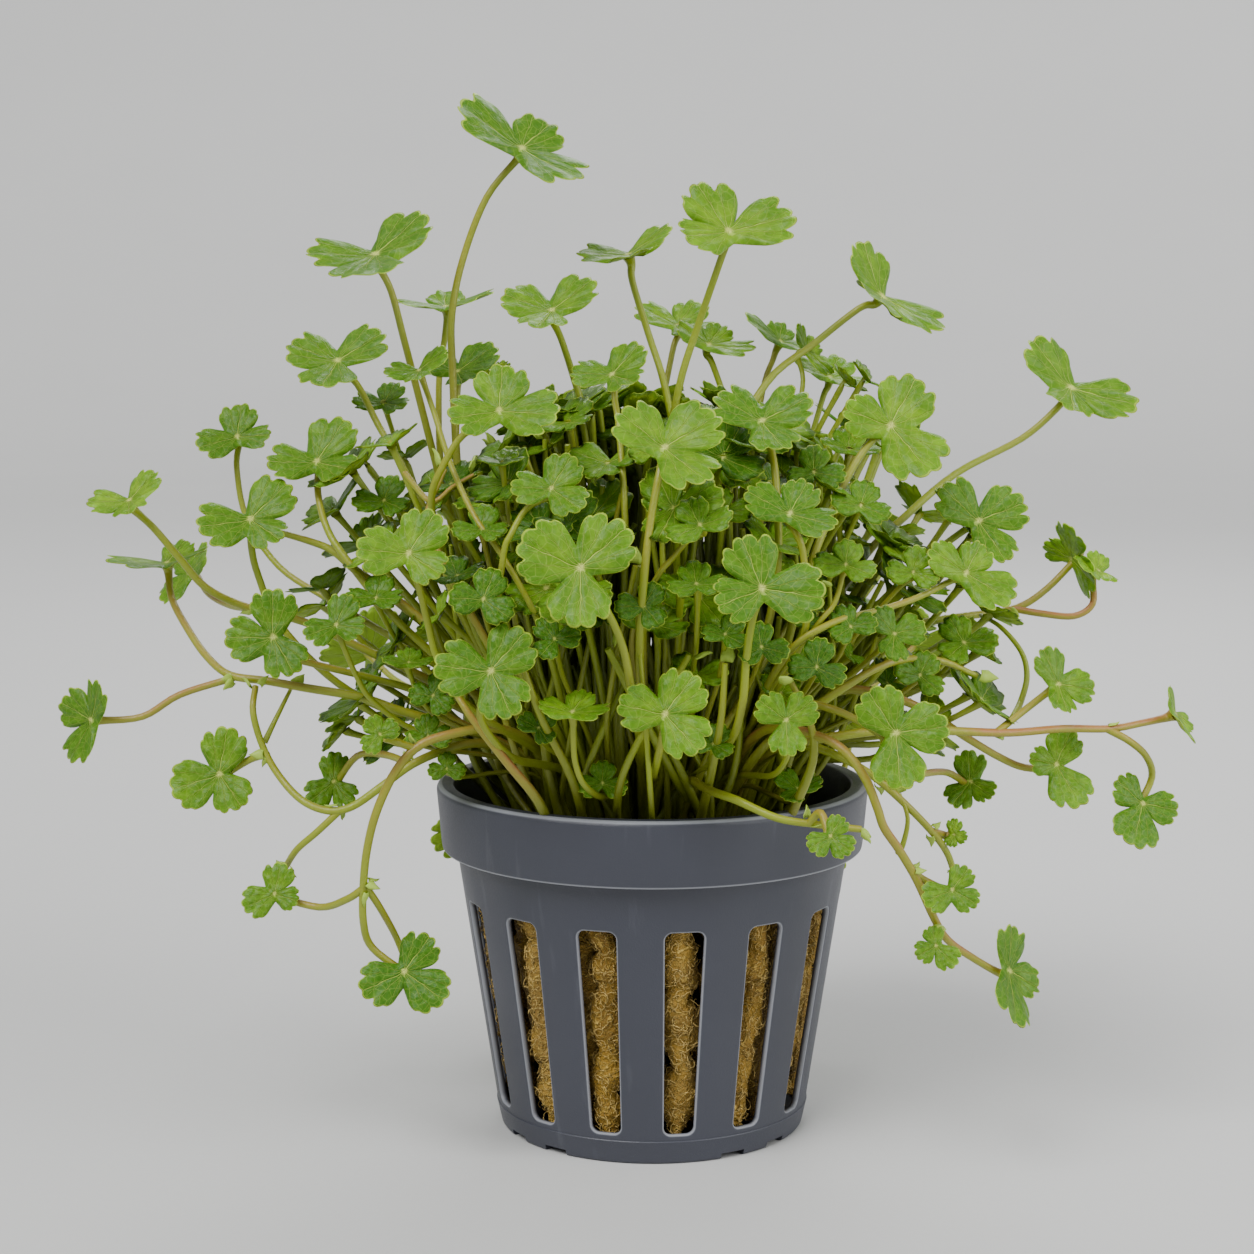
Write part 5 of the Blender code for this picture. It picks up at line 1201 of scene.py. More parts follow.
def behind_slots(tree, slot_share):
    """True on the outward side of the wool where one of the pot's slots leaves it open to view."""
    place = add_node(tree, "GeometryNodeInputPosition").outputs[0]
    unit = vector_maths(tree, "NORMALIZE", from_axis(tree, place))
    facing = vector_maths(tree, "DOT_PRODUCT", unit, add_node(tree, "GeometryNodeInputNormal").outputs[0])
    spot = parts_of(tree, place)
    turn = maths(tree, "ARCTAN2", spot["X"], maths(tree, "MULTIPLY", spot["Y"], -1.0))
    turn = maths(tree, "MULTIPLY", maths(tree, "SUBTRACT", turn, SLOT_TURN), float(SLOTS))
    in_slot = maths(tree, "GREATER_THAN", maths(tree, "COSINE", turn), slot_share)
    in_slot = maths(tree, "MULTIPLY", in_slot, maths(tree, "LESS_THAN", spot["Z"], SLOT_TOP + 2 * MM))
    return maths(tree, "MULTIPLY", in_slot, maths(tree, "GREATER_THAN", facing, 0.1))


def fibre_tree(name):
    """Scatters short curled fibres over the part of a surface that the pot's slots leave open."""
    tree, given, end = new_tree(name, (
        ("Density", "NodeSocketFloat", 200000.0), ("Curl Radius", "NodeSocketFloat", 0.70 * MM),
        ("Fibre Radius", "NodeSocketFloat", 0.055 * MM), ("Slot Share", "NodeSocketFloat", -0.1),
        ("Seed", "NodeSocketInt", 3), ("Material", "NodeSocketMaterial", None)))
    points = add_node(tree, "GeometryNodeDistributePointsOnFaces")
    feed(tree, points, Mesh=given["Geometry"], Density=given["Density"], Seed=given["Seed"],
         Selection=behind_slots(tree, given["Slot Share"]))
    fibre = add_node(tree, "GeometryNodeCurveArc")
    feed(tree, fibre, Resolution=6, Radius=given["Curl Radius"], Sweep_Angle=radians(230.0))
    spin = add_node(tree, "FunctionNodeRandomValue", data_type="FLOAT_VECTOR")
    feed(tree, spin, i0=(-0.7, -0.7, 0.0), i1=(0.7, 0.7, 2 * pi), Seed=given["Seed"])
    by = feed(tree, add_node(tree, "FunctionNodeEulerToRotation"), Euler=spin.outputs[0])
    turned = add_node(tree, "FunctionNodeRotateRotation", rotation_space="LOCAL")
    feed(tree, turned, Rotation=points.outputs["Rotation"], Rotate_By=by.outputs[0])
    sizes = add_node(tree, "FunctionNodeRandomValue", data_type="FLOAT")
    feed(tree, sizes, i2=0.4, i3=1.2, Seed=given["Seed"])
    copies = add_node(tree, "GeometryNodeInstanceOnPoints")
    feed(tree, copies, Points=points.outputs["Points"], Instance=fibre.outputs[0],
         Rotation=turned.outputs[0], Scale=sizes.outputs[1])
    threads = swept(tree, realized(tree, copies.outputs[0]), 3, given["Fibre Radius"])
    pale = add_node(tree, "GeometryNodeStoreNamedAttribute", data_type="FLOAT", domain="POINT")
    feed(tree, pale, Geometry=threads, Name="tone", Value=0.55)
    feed(tree, end, i0=coated(tree, realized(tree, pale.outputs[0]), given["Material"]))
    return tree


# Pieces

def link_object(name, data):
    made = bpy.data.objects.new(name, data)
    bpy.context.scene.collection.objects.link(made)
    return made


def applied(source, name):
    """A new object with what the source's modifiers make of it, in place of the source."""
    bpy.context.view_layer.update()
    graph = bpy.context.evaluated_depsgraph_get()
    mesh = bpy.data.meshes.new_from_object(source.evaluated_get(graph), preserve_all_data_layers=True,
                                           depsgraph=graph)
    bpy.data.objects.remove(source)
    mesh.name = name
    return link_object(name, mesh)


def plain_piece(name, source, tree, values):
    """Runs a tree on an object and returns a new object with the result as a plain mesh."""
    step = source.modifiers.new(tree.name, "NODES")
    step.node_group = tree
    for item in tree.interface.items_tree:
        if item.item_type == "SOCKET" and item.in_out == "INPUT" and item.name in values:
            step[item.identifier] = values[item.name]
    return applied(source, name)


def add_marks(mesh, marks):
    for label, values in marks.items():
        mesh.attributes.new(label, "FLOAT", "POINT").data.foreach_set("value", values)


def strands_object(name, strands):
    """Stem lines as loose edges, with their thickness and tone on each point."""
    verts = []
    edges = []
    thickness = []
    tones = []
    for path, radii, tone in strands:
        first = len(verts)
        verts += path
        thickness += radii
        tones += [tone] * len(path)
        edges += [(index, index + 1) for index in range(first, len(verts) - 1)]
    mesh = bpy.data.meshes.new(name)
    mesh.from_pydata(verts, edges, [])
    add_marks(mesh, {"thickness": thickness, "tone": tones})
    return link_object(name, mesh)


def blades_mesh(name, growth, labels):
    """The blades of a growth as a smooth mesh, with their map and some of their marks."""
    mesh = bpy.data.meshes.new(name)
    mesh.from_pydata(growth.verts, [], growth.faces)
    layer = mesh.uv_layers.new(name="leaf_map")
    corners = [0] * len(mesh.loops)
    mesh.loops.foreach_get("vertex_index", corners)
    layer.data.foreach_set("uv", [part for corner in corners for part in growth.map[corner]])
    add_marks(mesh, {label: growth.marks[label] for label in labels})
    mesh.shade_smooth()
    return mesh


def grown_piece(name, growth, plant, sides=8):
    """Turns a growth into one plain mesh object with its two materials."""
    blades = None
    if growth.faces:
        mesh = blades_mesh(name + "_blades", growth, growth.marks)
        add_marks(mesh, {"leafy": [1.0] * len(growth.verts)})
        blades = link_object(name + "_blades", mesh)
    lines = strands_object(name + "_lines", growth.strands)
    piece = plain_piece(name, lines, group_named("Stems and Blades", stems_tree), {
        "Sides": sides, "Blades": blades,
        "Stem Material": material_named("stem_skin", stem_material, plant),
        "Leaf Material": material_named("leaf_blade", leaf_material, plant)})
    if blades:
        bpy.data.objects.remove(blades)
    return piece


# Shapes of the pot

def wall_radius(z):
    """Outer radius of the pot's wall at a height."""
    return FOOT_RADIUS + WALL_FLARE * z


def arc_points(centre, radius, start, end, steps):
    """Points along an arc in the pot's section, with angles in degrees."""
    turns = [radians(start + (end - start) * step / steps) for step in range(steps + 1)]
    return [(centre[0] + radius * cos(turn), centre[1] + radius * sin(turn)) for turn in turns]


def slot_side(half_low, half_high):
    """Half of a slot's outline, from the middle of its lower corner to the middle of its upper one."""
    low = (half_low - SLOT_CORNER, SLOT_BOTTOM + SLOT_CORNER)
    high = (half_high - SLOT_CORNER, SLOT_TOP - SLOT_CORNER)
    points = arc_points(low, SLOT_CORNER, -45, 0, CORNER_STEPS)
    straight = UPRIGHT_STEPS - 2 * CORNER_STEPS
    for step in range(1, straight):
        share = step / straight
        points.append((half_low + (half_high - half_low) * share, low[1] + (high[1] - low[1]) * share))
    return points + arc_points(high, SLOT_CORNER, 0, 45, CORNER_STEPS)


def slot_top(half, z, corner_start):
    """Level run of a slot's outline between the middles of two corners, from right to left."""
    inside = half - SLOT_CORNER
    lift = 1.0 if corner_start == 45 else -1.0
    right = arc_points((inside, z - lift * SLOT_CORNER), SLOT_CORNER, 45 * lift, 90 * lift, CORNER_STEPS)
    straight = ACROSS_STEPS - 2 * CORNER_STEPS
    middle = [(inside - 2 * inside * step / straight, z) for step in range(1, straight)]
    return right + middle + [(-x, height) for x, height in reversed(right)]


def slot_outline():
    """Outline of a slot, anticlockwise seen from outside, from the middle of its lower right corner."""
    right = slot_side(SLOT_WIDTH_BOTTOM / 2, SLOT_WIDTH_TOP / 2)
    top = slot_top(SLOT_WIDTH_TOP / 2, SLOT_TOP, 45)
    bottom = slot_top(SLOT_WIDTH_BOTTOM / 2, SLOT_BOTTOM, -45)
    left = [(-x, z) for x, z in reversed(right)]
    return right[:-1] + top[:-1] + left[:-1] + list(reversed(bottom))[:-1]


def band_outline():
    """Outline of the wall panel round a slot, with a point for each of the slot's: (turn, height)."""
    half = pi / SLOTS
    points = [(half, BAND_LOW + (BAND_HIGH - BAND_LOW) * i / UPRIGHT_STEPS) for i in range(UPRIGHT_STEPS)]
    points += [(half - 2 * half * i / ACROSS_STEPS, BAND_HIGH) for i in range(ACROSS_STEPS)]
    points += [(-half, BAND_HIGH - (BAND_HIGH - BAND_LOW) * i / UPRIGHT_STEPS) for i in range(UPRIGHT_STEPS)]
    points += [(-half + 2 * half * i / ACROSS_STEPS, BAND_LOW) for i in range(ACROSS_STEPS)]
    return points


def offset_outline(outline, distance):
    """An outline moved outwards by a distance."""
    moved = []
    for before, spot, after in zip(outline[-1:] + outline[:-1], outline, outline[1:] + outline[:1]):
        ahead = Vector((after[0] - before[0], after[1] - before[1])).normalized()
        moved.append((spot[0] + ahead.y * distance, spot[1] - ahead.x * distance))
    return moved


def slot_panels(bm):
    """Wall of the pot between its foot and collar, one panel round each rounded slot."""
    edge_highlight = bm.verts.layers.float.new("edge")
    slot = slot_outline()
    band = band_outline()
    edge = SLOT_EDGE
    corner = edge * (1 - sqrt(0.5))
    wide = 2.2 * edge
    steps = ((1.0, 0.0, 0.0), (0.5, wide, 0.0), (0.0, wide, 0.0), (0.0, edge, 0.0), (0.0, corner, corner),
             (0.0, 0.0, edge), (0.0, 0.0, WALL - edge), (0.0, corner, WALL - corner), (0.0, edge, WALL),
             (0.5, wide, WALL), (1.0, 0.0, WALL))
    for index in range(SLOTS):
        turned = SLOT_TURN + index * 2 * pi / SLOTS
        loops = []
        for share, outset, depth in steps:
            loop = []
            for (x, z), (turn, height) in zip(offset_outline(slot, outset), band):
                level = z + (height - z) * share
                radius = wall_radius(level) - depth
                own = asin(x / radius)
                own += (turn - own) * share + turned
                loop.append(bm.verts.new((radius * sin(own), -radius * cos(own), level)))
                # The slot's outer edge is marked for a painted highlight
                loop[-1][edge_highlight] = 1.0 if outset <= corner and depth <= edge and share == 0.0 else 0.0
            loops.append(loop)
        for near, far in zip(loops, loops[1:]):
            for step in range(len(near)):
                after = (step + 1) % len(near)
                bm.faces.new((near[step], near[after], far[after], far[step]))


def revolve(bm, section):
    """Turns a section, as radius and height, round the pot's axis in the panels' own steps."""
    count = SLOTS * ACROSS_STEPS
    rings = []
    for radius, z in section:
        if radius == 0.0:
            rings.append([bm.verts.new((0.0, 0.0, z))] * count)
            continue
        turns = [SLOT_TURN + (step / ACROSS_STEPS - 0.5) * 2 * pi / SLOTS for step in range(count)]
        rings.append([bm.verts.new((radius * sin(turn), -radius * cos(turn), z)) for turn in turns])
    for near, far in zip(rings, rings[1:]):
        for step in range(count):
            after = (step + 1) % count
            corners = list(dict.fromkeys((near[step], near[after], far[after], far[step])))
            if len(corners) > 2:
                bm.faces.new(corners)


def paint_lip_highlights(bm):
    """Marks the collar's upper and lower lip for a painted highlight."""
    edge_highlight = bm.verts.layers.float["edge"]
    for vert in bm.verts:
        out = hypot(vert.co.x, vert.co.y)
        low_lip = out > RIM_FOOT_RADIUS - 0.2 * MM and abs(vert.co.z - RIM_FOOT_Z) < 0.25 * MM
        top_lip = out > RIM_RADIUS - 0.8 * MM and 0.01 * MM < POT_HEIGHT - vert.co.z < 0.25 * MM
        if low_lip or top_lip:
            vert[edge_highlight] = 0.9


def collar_section():
    """Section from the wall's outside over the hanging rim and its lip to the wall's inside."""
    collar = POT_HEIGHT - COLLAR_TOP
    lip = 0.75 * MM
    foot = 0.3 * MM
    inner = wall_radius(POT_HEIGHT) - WALL
    section = [(wall_radius(BAND_HIGH), BAND_HIGH), (wall_radius(collar - foot), collar - foot),
               (wall_radius(collar) + foot, collar)]
    section += [(RIM_FOOT_RADIUS - WALL, RIM_FOOT_Z + foot)]
    section += arc_points((RIM_FOOT_RADIUS - WALL + foot, RIM_FOOT_Z + foot), foot, 180, 270, 3)[1:]
    section += arc_points((RIM_FOOT_RADIUS - foot, RIM_FOOT_Z + foot), foot, 270, 360, 3)
    section += [(RIM_FOOT_RADIUS + 0.08 * MM, RIM_FOOT_Z + 2.6 * foot)]
    section += arc_points((RIM_RADIUS - lip, POT_HEIGHT - lip), lip, 0, 90, 6)
    section += arc_points((inner + foot, POT_HEIGHT - foot), foot, 90, 180, 3)
    return section + [(wall_radius(BAND_HIGH) - WALL, BAND_HIGH)]


def foot_section():
    """Section from the wall's inside over the floor and round the foot to the wall's outside."""
    fillet = 0.6 * MM
    edge = 0.45 * MM
    inner = wall_radius(BAND_LOW) - WALL
    section = [(inner, BAND_LOW)]
    section += arc_points((inner - fillet, FLOOR + fillet), fillet, 0, -90, 3)
    section += [(DRAIN_CIRCLE + 2 * DRAIN_RADIUS, FLOOR), (DRAIN_CIRCLE, FLOOR), (0.0, FLOOR), (0.0, 0.0)]
    section += [(DRAIN_CIRCLE, 0.0)]
    section += arc_points((FOOT_RADIUS - edge, edge), edge, -90, 0, 4)
    ledge = BAND_LOW - FOOT_PROUD
    top = wall_radius(BAND_LOW)
    section += [(wall_radius(ledge) + 0.7 * FOOT_PROUD, ledge - FOOT_PROUD)]
    section += [(wall_radius(ledge) + FOOT_PROUD, ledge)]
    return section + [(top + 0.3 * FOOT_PROUD, BAND_LOW), (top, BAND_LOW)]


def foot_cutters():
    """Water gaps in the foot's edge and drain holes in the floor, as one cutting mesh."""
    bm = bmesh.new()
    for index in range(2 * NOTCH_PAIRS):
        turn = NOTCH_TURN + NOTCH_SPREAD * (index % 2 * 2 - 1) + index // 2 * 2 * pi / NOTCH_PAIRS
        made = bmesh.ops.create_cube(bm, size=1.0)["verts"]
        bmesh.ops.scale(bm, verts=made, vec=(NOTCH_WIDTH, 2 * NOTCH_DEPTH, 2 * NOTCH_HEIGHT))
        bmesh.ops.translate(bm, verts=made, vec=(0.0, -FOOT_RADIUS, 0.0))
        bmesh.ops.rotate(bm, verts=made, matrix=Matrix.Rotation(turn, 3, "Z"))
    for index in range(DRAIN_HOLES):
        turn = index * 2 * pi / DRAIN_HOLES
        place = Matrix.Translation((DRAIN_CIRCLE * cos(turn), DRAIN_CIRCLE * sin(turn), 0.0))
        bmesh.ops.create_cone(bm, cap_ends=True, segments=32, radius1=DRAIN_RADIUS, radius2=DRAIN_RADIUS,
                              depth=4 * FLOOR, matrix=place)
    mesh = bpy.data.meshes.new("foot_cutters")
    bm.to_mesh(mesh)
    bm.free()
    return link_object("foot_cutters", mesh)


# Shapes of the heart

def dome_radius(height):
    """Radius of the heart of the plant at a height."""
    half = HEART_HIGH - HEART_MIDDLE if height > HEART_MIDDLE else 1.35 * (HEART_MIDDLE - HEART_LOW)
    return HEART_RADIUS * sqrt(max(0.0, 1.0 - ((height - HEART_MIDDLE) / half) ** 2))


def dome_top(out):
    """Height of the top of the heart at a distance from its axis."""
    return HEART_MIDDLE + (HEART_HIGH - HEART_MIDDLE) * sqrt(1.0 - (out / HEART_RADIUS) ** 2)


class PLANT_OT_pot(bpy.types.Operator):
    """Build the slotted net pot"""
    bl_idname = "plant.pot"
    bl_label = "Net Pot"

    def execute(self, context):
        bm = bmesh.new()
        slot_panels(bm)
        revolve(bm, collar_section())
        revolve(bm, foot_section())
        paint_lip_highlights(bm)
        bmesh.ops.remove_doubles(bm, verts=bm.verts, dist=WELD)
        bmesh.ops.recalc_face_normals(bm, faces=bm.faces)
        mesh = bpy.data.meshes.new("pot_shell")
        bm.to_mesh(mesh)
        bm.free()
        shell = link_object("pot_shell", mesh)
        cutters = foot_cutters()
        step = shell.modifiers.new("Water Gaps", "BOOLEAN")
        step.operation = "DIFFERENCE"
        step.object = cutters
        step.solver = "EXACT"
        shell = applied(shell, "pot_shell")
        bpy.data.objects.remove(cutters)
        shell.data.shade_smooth()
        shell.data.set_sharp_from_angle(angle=radians(42.0))
        shell.data.materials.clear()
        shell.data.materials.append(material_named("satin_plastic", pot_material, context.scene.net_pot))
        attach(shell, "root")
        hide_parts("net_pot")
        return {"FINISHED"}


class PLANT_OT_wool(bpy.types.Operator):
    """Build the plug of mineral wool: a core, the strands packed round it and their loose fibres"""
    bl_idname = "plant.wool"
    bl_label = "Mineral Wool"

    def execute(self, context):
        pot = context.scene.net_pot
        rng = random.Random(5)
        strands = [self.beaded_strand(index, rng) for index in range(2 * SLOTS)]
        core = [Vector((0.0, 0.0, WOOL_BOTTOM + 0.1 * MM + share * (WOOL_TOP - WOOL_BOTTOM - 1.0 * MM)))
                for share in (0.0, 0.25, 0.5, 0.75, 1.0)]
        strands.append((core, [wall_radius(spot.z) - WOOL_CLEAR - CORE_DEPTH for spot in core], 0.0))
        fill = material_named("wool_thread", wool_material, pot)
        packed = plain_piece("wool_strands", strands_object("wool_lines", strands),
                             group_named("Stems and Blades", stems_tree),
                             {"Sides": 14, "Stem Material": fill, "Leaf Material": fill})
        pieces = [packed]
        for layer in range(FIBRE_LAYERS):
            loose = link_object("wool_surface", packed.data.copy())
            pieces.append(plain_piece(
                f"wool_fibres_{layer}", loose, group_named("Loose Fibres", fibre_tree),
                {"Density": pot.fibre_density, "Seed": 3 + layer, "Material": fill}))
        for piece in pieces:
            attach(piece, "root")
        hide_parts("wool_plug")
        return {"FINISHED"}

    def beaded_strand(self, index, rng):
        """An upright strand of wads just inside the wall, with its radii and tone."""
        turn = SLOT_TURN - pi / 2 + index * pi / SLOTS + rng.uniform(-0.035, 0.035)
        thick = rng.uniform(*WAD_RADIUS) * MM
        phase = rng.uniform(0.0, 2 * pi)
        length = rng.uniform(*WAD_LENGTH) * MM
        deep = BAR_DEPTH if index % 2 else 0.0
        path = []
        radii = []
        for step in range(STRAND_STEPS + 1):
            share = step / STRAND_STEPS
            z = WOOL_BOTTOM + 1.2 * MM + share * (WOOL_TOP - WOOL_BOTTOM - 2.4 * MM)
            lump = noise.noise(Vector((index * 3.1, z / (3.0 * MM), phase)))
            bead = abs(sin(pi * z / length + phase + 0.9 * lump)) ** 0.8
            waist = WAD_WAIST + (1.0 - WAD_WAIST) * bead
            radius = thick * waist * min(1.0, 0.4 + 6 * share, 0.4 + 6 * (1 - share))
            own = turn + 0.030 * sin(z / (4.1 * MM) + phase) + 0.05 * lump
            inward = deep + max(0.0, share - 0.93) * 45 * MM + max(0.0, 0.8 * lump) * MM
            out = wall_radius(z) - WOOL_CLEAR - radius * 0.95 - inward
            path.append(Vector((out * cos(own), out * sin(own), z)))
            radii.append(radius)
        return path, radii, rng.uniform(0.0, 0.12)


class PLANT_OT_leaves(bpy.types.Operator):
    """Grow the tall leaves that stand clear of the thicket, each with its stalk"""
    bl_idname = "plant.leaves"
    bl_label = "Standing Leaves"

    def execute(self, context):
        plant = context.scene.plant
        for index, (name, spec) in enumerate(LEAVES.items()):
            rng = random.Random(plant.seed * 1000 + index)
            spec = spec._replace(tone=spec.tone + rng.uniform(-0.25, 0.25))
            growth = Growth()
            grow_blade(growth, spec, plant, rng)
            grow_stalk(growth, spec, plant, rng.uniform(0.15, 0.6))
            piece = grown_piece(name + "_grown", growth, plant)
            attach(piece, "root")
            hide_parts(name)
        return {"FINISHED"}


class PLANT_OT_shoots(bpy.types.Operator):
    """Grow the trailing shoots with their side stems, leaves and the scales at their joints"""
    bl_idname = "plant.shoots"
    bl_label = "Trailing Shoots"

    def execute(self, context):
        plant = context.scene.plant
        for index, (name, runs) in enumerate(SHOOTS.items()):
            rng = random.Random(plant.seed * 2000 + index)
            growth = Growth()
            for place, run in enumerate(runs):
                self.grow_run(growth, run, plant, rng, place == 0)
            piece = grown_piece(name + "_grown", growth, plant, 10)
            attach(piece, "root")
            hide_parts(name)
        return {"FINISHED"}

    def grow_run(self, growth, run, plant, rng, is_main):
        """Grows one run of a shoot from its joint to its leaf or bare tip, with the scales at both."""
        places = [seen_at(reading)[0] for reading in run.route]
        if is_main:
            places = down_to_crown(places[0], places[1])[::-1] + places
        foot = plant.stem_radius if is_main else SIDE_STEM * plant.stem_radius
        top = BARE_TIP * plant.stem_radius
        if run.leaf:
            hub, across, along, face, radius = leaf_frame(run.leaf)
            places += [hub - face * HUB_DROP, hub - face * HUB_SINK]
            top = STALK_TOP * plant.stalk_radius
            grow_blade(growth, run.leaf, plant, rng)
        path = smooth_route(places)[::-1]
        radii = stalk_radii(path, top, foot, 0.9 * plant.stalk_radius if run.leaf else 0.0)
        growth.strand(path, radii, rng.uniform(0.45, 1.0))
        if not is_main:
            for scale in range(2):
                grow_bract(growth, path[-1], path[-4] - path[-1], rng.uniform(0.9, 1.3) * MM, rng)
        if not run.leaf:
            for scale in range(3):
                grow_bract(growth, path[0], path[0] - path[3], rng.uniform(0.9, 1.4) * MM, rng)


class PLANT_OT_thicket(bpy.types.Operator):
    """Grow the heart of the plant: the stems that rise from the wool and the small leaves among them"""
    bl_idname = "plant.thicket"
    bl_label = "Thicket"

    leaf_count: bpy.props.IntProperty(
        name="Leaves", description="Small leaves inside the thicket", default=200)
    flank_count: bpy.props.IntProperty(
        name="Flank Leaves", description="Small leaves beyond its sides", default=64)
    stem_count: bpy.props.IntProperty(
        name="Stems", description="Bare stems inside the thicket", default=210)

    def execute(self, context):
        plant = context.scene.plant
        rng = random.Random(plant.seed)
        small = self.grow_seen(plant, rng)
        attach(small, "root")
        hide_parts("stem_thicket")
        stems = Growth()
        points = self.grow_leaf_points(stems, rng)
        for index in range(self.stem_count):
            self.grow_bare_stem(stems, rng, index % SCALED_PART == 0)
        inner = grown_piece("thicket_stems", stems, plant, 6)
        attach(inner, "root")
        kinds = self.leaf_kinds(plant, rng)
        leaves = plain_piece("thicket_inner_leaves", points, group_named("Scattered Leaves", scatter_tree), {
            "Leaves": kinds, "Material": material_named("leaf_blade", leaf_material, plant)})
        for kind in list(kinds.objects):
            bpy.data.objects.remove(kind)
        bpy.data.collections.remove(kinds)
        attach(leaves, "root")
        return {"FINISHED"}

    def grow_seen(self, plant, rng):
        """The small leaves and loose stems that can be told apart in front of the thicket."""
        growth = Growth()
        for spec in SMALL_LEAVES:
            grow_blade(growth, spec, plant, rng, "small")
            grow_stalk(growth, spec, plant, rng.uniform(0.2, 0.7))
        for route, radius, brown in LOOSE_STEMS:
            path = smooth_route([seen_at(reading)[0] for reading in route])
            radii = [radius * MM * (0.45 + 0.35 * step / len(path)) for step in range(len(path))]
            growth.strand(path, radii, brown)
            grow_bract(growth, path[0], path[0] - path[3], 1.6 * MM, rng)
        return grown_piece("thicket_small_leaves", growth, plant)

    def leaf_place(self, index, rng):
        """Turn, distance out, height and dome share of a small leaf, and whether it is low in front."""
        turn = rng.uniform(0.0, 2 * pi)
        climb = 0.20 + 0.78 * sqrt(rng.random())
        if index < self.leaf_count // TOP_PART:
            out = HEART_RADIUS * sqrt(rng.uniform(0.0, TOP_SPREAD))
            return turn, out, dome_top(out) - rng.uniform(*TOP_DEPTH) * MM, 1.0, False
        if index < self.leaf_count:
            height = HEART_LOW + climb * (HEART_HIGH - HEART_LOW)
            in_front = -sin(turn) > 0.35 and climb < FRONT_CLIMB
            share = rng.uniform(*(FRONT_SHARE if in_front else SIDE_SHARE))
            return turn, dome_radius(height) * share, height, share, in_front
        turn = rng.uniform(*FLANK_TURNS)
        height = rng.uniform(*FLANK_HEIGHTS)
        out = rng.uniform(*FLANK_REACH) * sqrt(1.0 - ((height - FLANK_MIDDLE) / FLANK_HALF) ** 2)
        return (turn if index % 2 else pi - turn), out, height, 1.0, False

    def grow_leaf_points(self, stems, rng):
        """Points for the small leaves at seeded places, and their stalks, which join the stems."""
        spots = []
        facings = []
        marks = {"spin": [], "size": [], "tone": []}
        for index in range(self.leaf_count + self.flank_count):
            turn, out, height, share, in_front = self.leaf_place(index, rng)
            spot = Vector((out * cos(turn), out * sin(turn), height))
            lift = rng.uniform(0.5, 1.5) + 1.2 * max(0.0, height / HEART_HIGH - 0.55)
            lift += 2.0 * max(0.0, 1.0 - out / TOP_LEVEL)
            facing = Vector((cos(turn), sin(turn), lift))
            facing += Vector((rng.uniform(-0.4, 0.4), rng.uniform(-0.4, 0.4), rng.uniform(-0.2, 0.3)))
            facing.normalize()
            spots.append(spot)
            facings += list(facing)
            marks["spin"].append(rng.uniform(0.0, 2 * pi))
            marks["size"].append(rng.uniform(*(FRONT_LEAF if in_front else INNER_LEAF)) * MM)
            marks["tone"].append(rng.uniform(0.0, 0.8) * share)
            under = spot - facing * HUB_DROP
            path = smooth_route([spot - facing * 0.2 * MM, under] + down_to_crown(under, spot), 3)
            stems.strand(path, stalk_radii(path, *INNER_STALK), rng.uniform(0.0, 0.4))
        points = bpy.data.meshes.new("leaf_points")
        points.from_pydata(spots, [], [])
        add_marks(points, marks)
        points.attributes.new("facing", "FLOAT_VECTOR", "POINT").data.foreach_set("vector", facings)
        return link_object("leaf_points", points)

    def grow_bare_stem(self, stems, rng, has_scale):
        """A thin stem that rises from the wool, bends outwards and ends bare or in a scale."""
        turn = rng.uniform(0.0, 2 * pi)
        foot = rng.uniform(*BARE_FOOT) * MM
        height = rng.uniform(*BARE_HEIGHT) * MM
        out = dome_radius(height) * rng.uniform(*BARE_SHARE)
        swing = turn + rng.uniform(-0.8, 0.8)
        start = Vector((foot * cos(turn), foot * sin(turn), ROOT_Z))
        tip = Vector((out * cos(swing), out * sin(swing), height))
        knee = start.lerp(tip, 0.45) + Vector((start.x, start.y, 0.0)) * 0.22
        aside = [rng.uniform(-BARE_BEND, BARE_BEND) for part in range(2)]
        knee += Vector((*aside, 0.0)) * MM
        path = smooth_route([start, knee, tip], 7)
        thick = rng.uniform(*BARE_RADIUS) * MM
        stems.strand(path, stalk_radii(path, thick, 0.7 * thick, 0.0), rng.uniform(0.0, 0.75) ** 2)
        if has_scale:
            grow_bract(stems, path[-1], path[-1] - path[-3], 1.5 * MM, rng)

    def leaf_kinds(self, plant, rng):
        """Four unit leaves at the origin, facing up, in a collection of their own."""
        kinds = bpy.data.collections.new("leaf_kinds")
        bpy.context.scene.collection.children.link(kinds)
        unit = leaf((0.0, 0.0, 0.0), 5.0, 0, 90, 90, tone=0.0, cup=0.30)
        hub, across, along, face, radius = leaf_frame(unit)
        upright = Matrix((across, along, face)).to_4x4()
        for index in range(4):
            growth = Growth()
            grow_blade(growth, unit, plant, rng, "inner")
            mesh = blades_mesh(f"leaf_kind_{index}", growth, ("reach", "under"))
            mesh.transform(Matrix.Scale(1 / radius, 4) @ upright @ Matrix.Translation(-hub))
            kinds.objects.link(bpy.data.objects.new(f"leaf_kind_{index}", mesh))
        return kinds


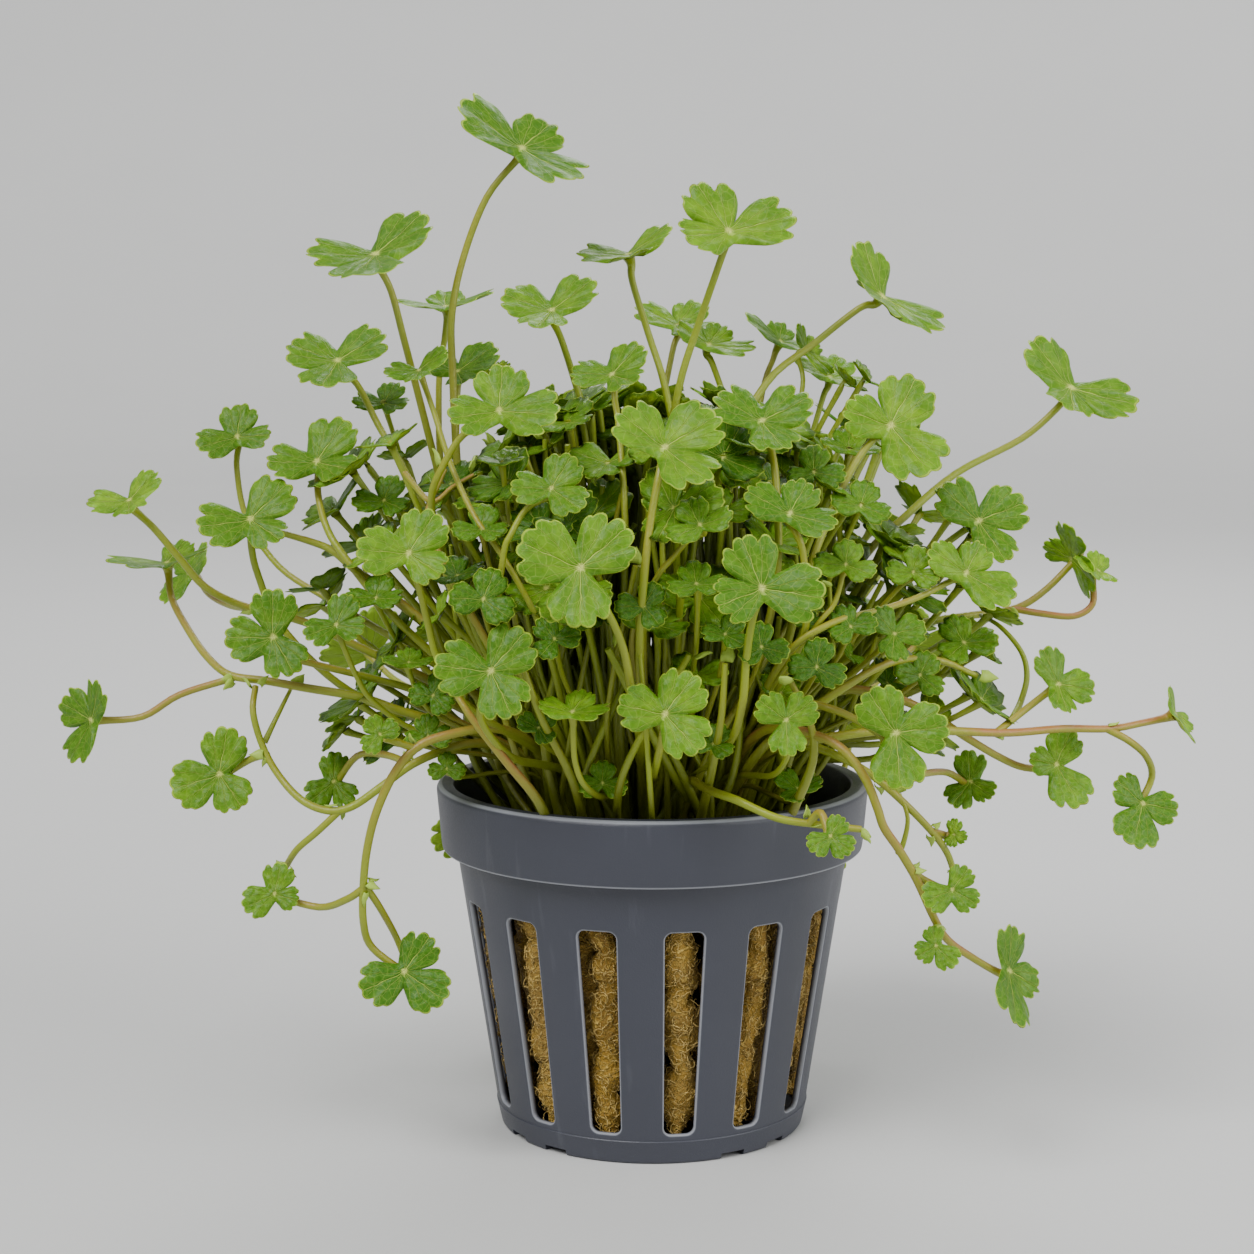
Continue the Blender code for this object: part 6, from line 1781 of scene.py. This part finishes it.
class PLANT_OT_studio(bpy.types.Operator):
    """Build the pale floor, the soft lights and the camera"""
    bl_idname = "plant.studio"
    bl_label = "Studio"

    def execute(self, context):
        scene = context.scene
        studio = scene.studio
        floor = link_object("studio_floor", self.swept_floor())
        floor.data.materials.append(material_named("pale_floor", floor_material, studio))
        sun = bpy.data.lights.new("key_light", "SUN")
        sun.energy = studio.key_strength
        sun.angle = KEY_SPREAD
        key = link_object("key_light", sun)
        key.rotation_euler = KEY_AIM.to_track_quat("-Z", "Y").to_euler()
        self.soft_light("fill_light", FILL_PLACE, studio.fill_power, 0.45)
        self.soft_light("back_light", BACK_PLACE, 0.6 * studio.fill_power, 0.35)
        world = bpy.data.worlds.new("pale_surround")
        world.use_nodes = True
        backdrop = world.node_tree.nodes["Background"]
        backdrop.inputs["Color"].default_value = SURROUND
        backdrop.inputs["Strength"].default_value = studio.sky
        scene.world = world
        lens = bpy.data.cameras.new("front_camera")
        lens.sensor_width = SENSOR
        lens.lens = EYE_FOCAL * SENSOR / IMAGE_SIDE
        lens.clip_start = 0.01
        camera = link_object("front_camera", lens)
        camera.location = EYE
        camera.rotation_euler = (pi / 2 - EYE_PITCH, 0.0, 0.0)
        scene.camera = camera
        return {"FINISHED"}

    def swept_floor(self):
        """A round flat floor whose rim sweeps up in a quarter circle."""
        bm = bmesh.new()
        bmesh.ops.create_circle(bm, cap_ends=True, segments=96, radius=SWEEP_START)
        rim = list(bm.edges)
        for step in range(1, SWEEP_STEPS + 1):
            turn = pi / 2 * step / SWEEP_STEPS
            radius = SWEEP_START + SWEEP_BEND * sin(turn)
            made = bmesh.ops.extrude_edge_only(bm, edges=rim)["geom"]
            for vert in (item for item in made if isinstance(item, bmesh.types.BMVert)):
                vert.co = Vector((vert.co.x, vert.co.y, 0.0)).normalized() * radius
                vert.co.z = SWEEP_BEND * (1.0 - cos(turn))
            rim = [item for item in made if isinstance(item, bmesh.types.BMEdge) and item.is_boundary]
        bmesh.ops.recalc_face_normals(bm, faces=bm.faces)
        mesh = bpy.data.meshes.new("studio_floor")
        bm.to_mesh(mesh)
        bm.free()
        mesh.shade_smooth()
        return mesh

    def soft_light(self, name, place, power, size):
        lamp = bpy.data.lights.new(name, "AREA")
        lamp.energy = power
        lamp.size = size
        made = link_object(name, lamp)
        made.location = place
        made.rotation_euler = (LIT_PLACE - Vector(place)).to_track_quat("-Z", "Y").to_euler()


class PLANT_PT_panel(bpy.types.Panel):
    """Sizes, colours and the steps that build the plant"""
    bl_label = "Potted Hydrocotyle"
    bl_idname = "PLANT_PT_panel"
    bl_space_type = "VIEW_3D"
    bl_region_type = "UI"
    bl_category = "Plant"

    def draw(self, context):
        for setting in SETTINGS:
            box = self.layout.box()
            values = getattr(context.scene, setting)
            for name in values.bl_rna.properties.keys():
                if name not in ("rna_type", "name"):
                    box.prop(values, name)
        column = self.layout.column(align=True)
        for step in STEPS:
            column.operator(step.bl_idname)


SETTINGS = {"plant": PlantSettings, "net_pot": PotSettings, "studio": StudioSettings}
STEPS = (PLANT_OT_pot, PLANT_OT_wool, PLANT_OT_leaves, PLANT_OT_shoots, PLANT_OT_thicket, PLANT_OT_studio)
CLASSES = (*SETTINGS.values(), *STEPS, PLANT_PT_panel)


def register():
    for item in CLASSES:
        bpy.utils.register_class(item)
    for name, settings in SETTINGS.items():
        setattr(bpy.types.Scene, name, bpy.props.PointerProperty(type=settings))


def unregister():
    for name in SETTINGS:
        delattr(bpy.types.Scene, name)
    for item in reversed(CLASSES):
        bpy.utils.unregister_class(item)


def main():
    register()
    for step in STEPS:
        group, name = step.bl_idname.split(".")
        getattr(getattr(bpy.ops, group), name)()


if __name__ == "__main__":
    main()
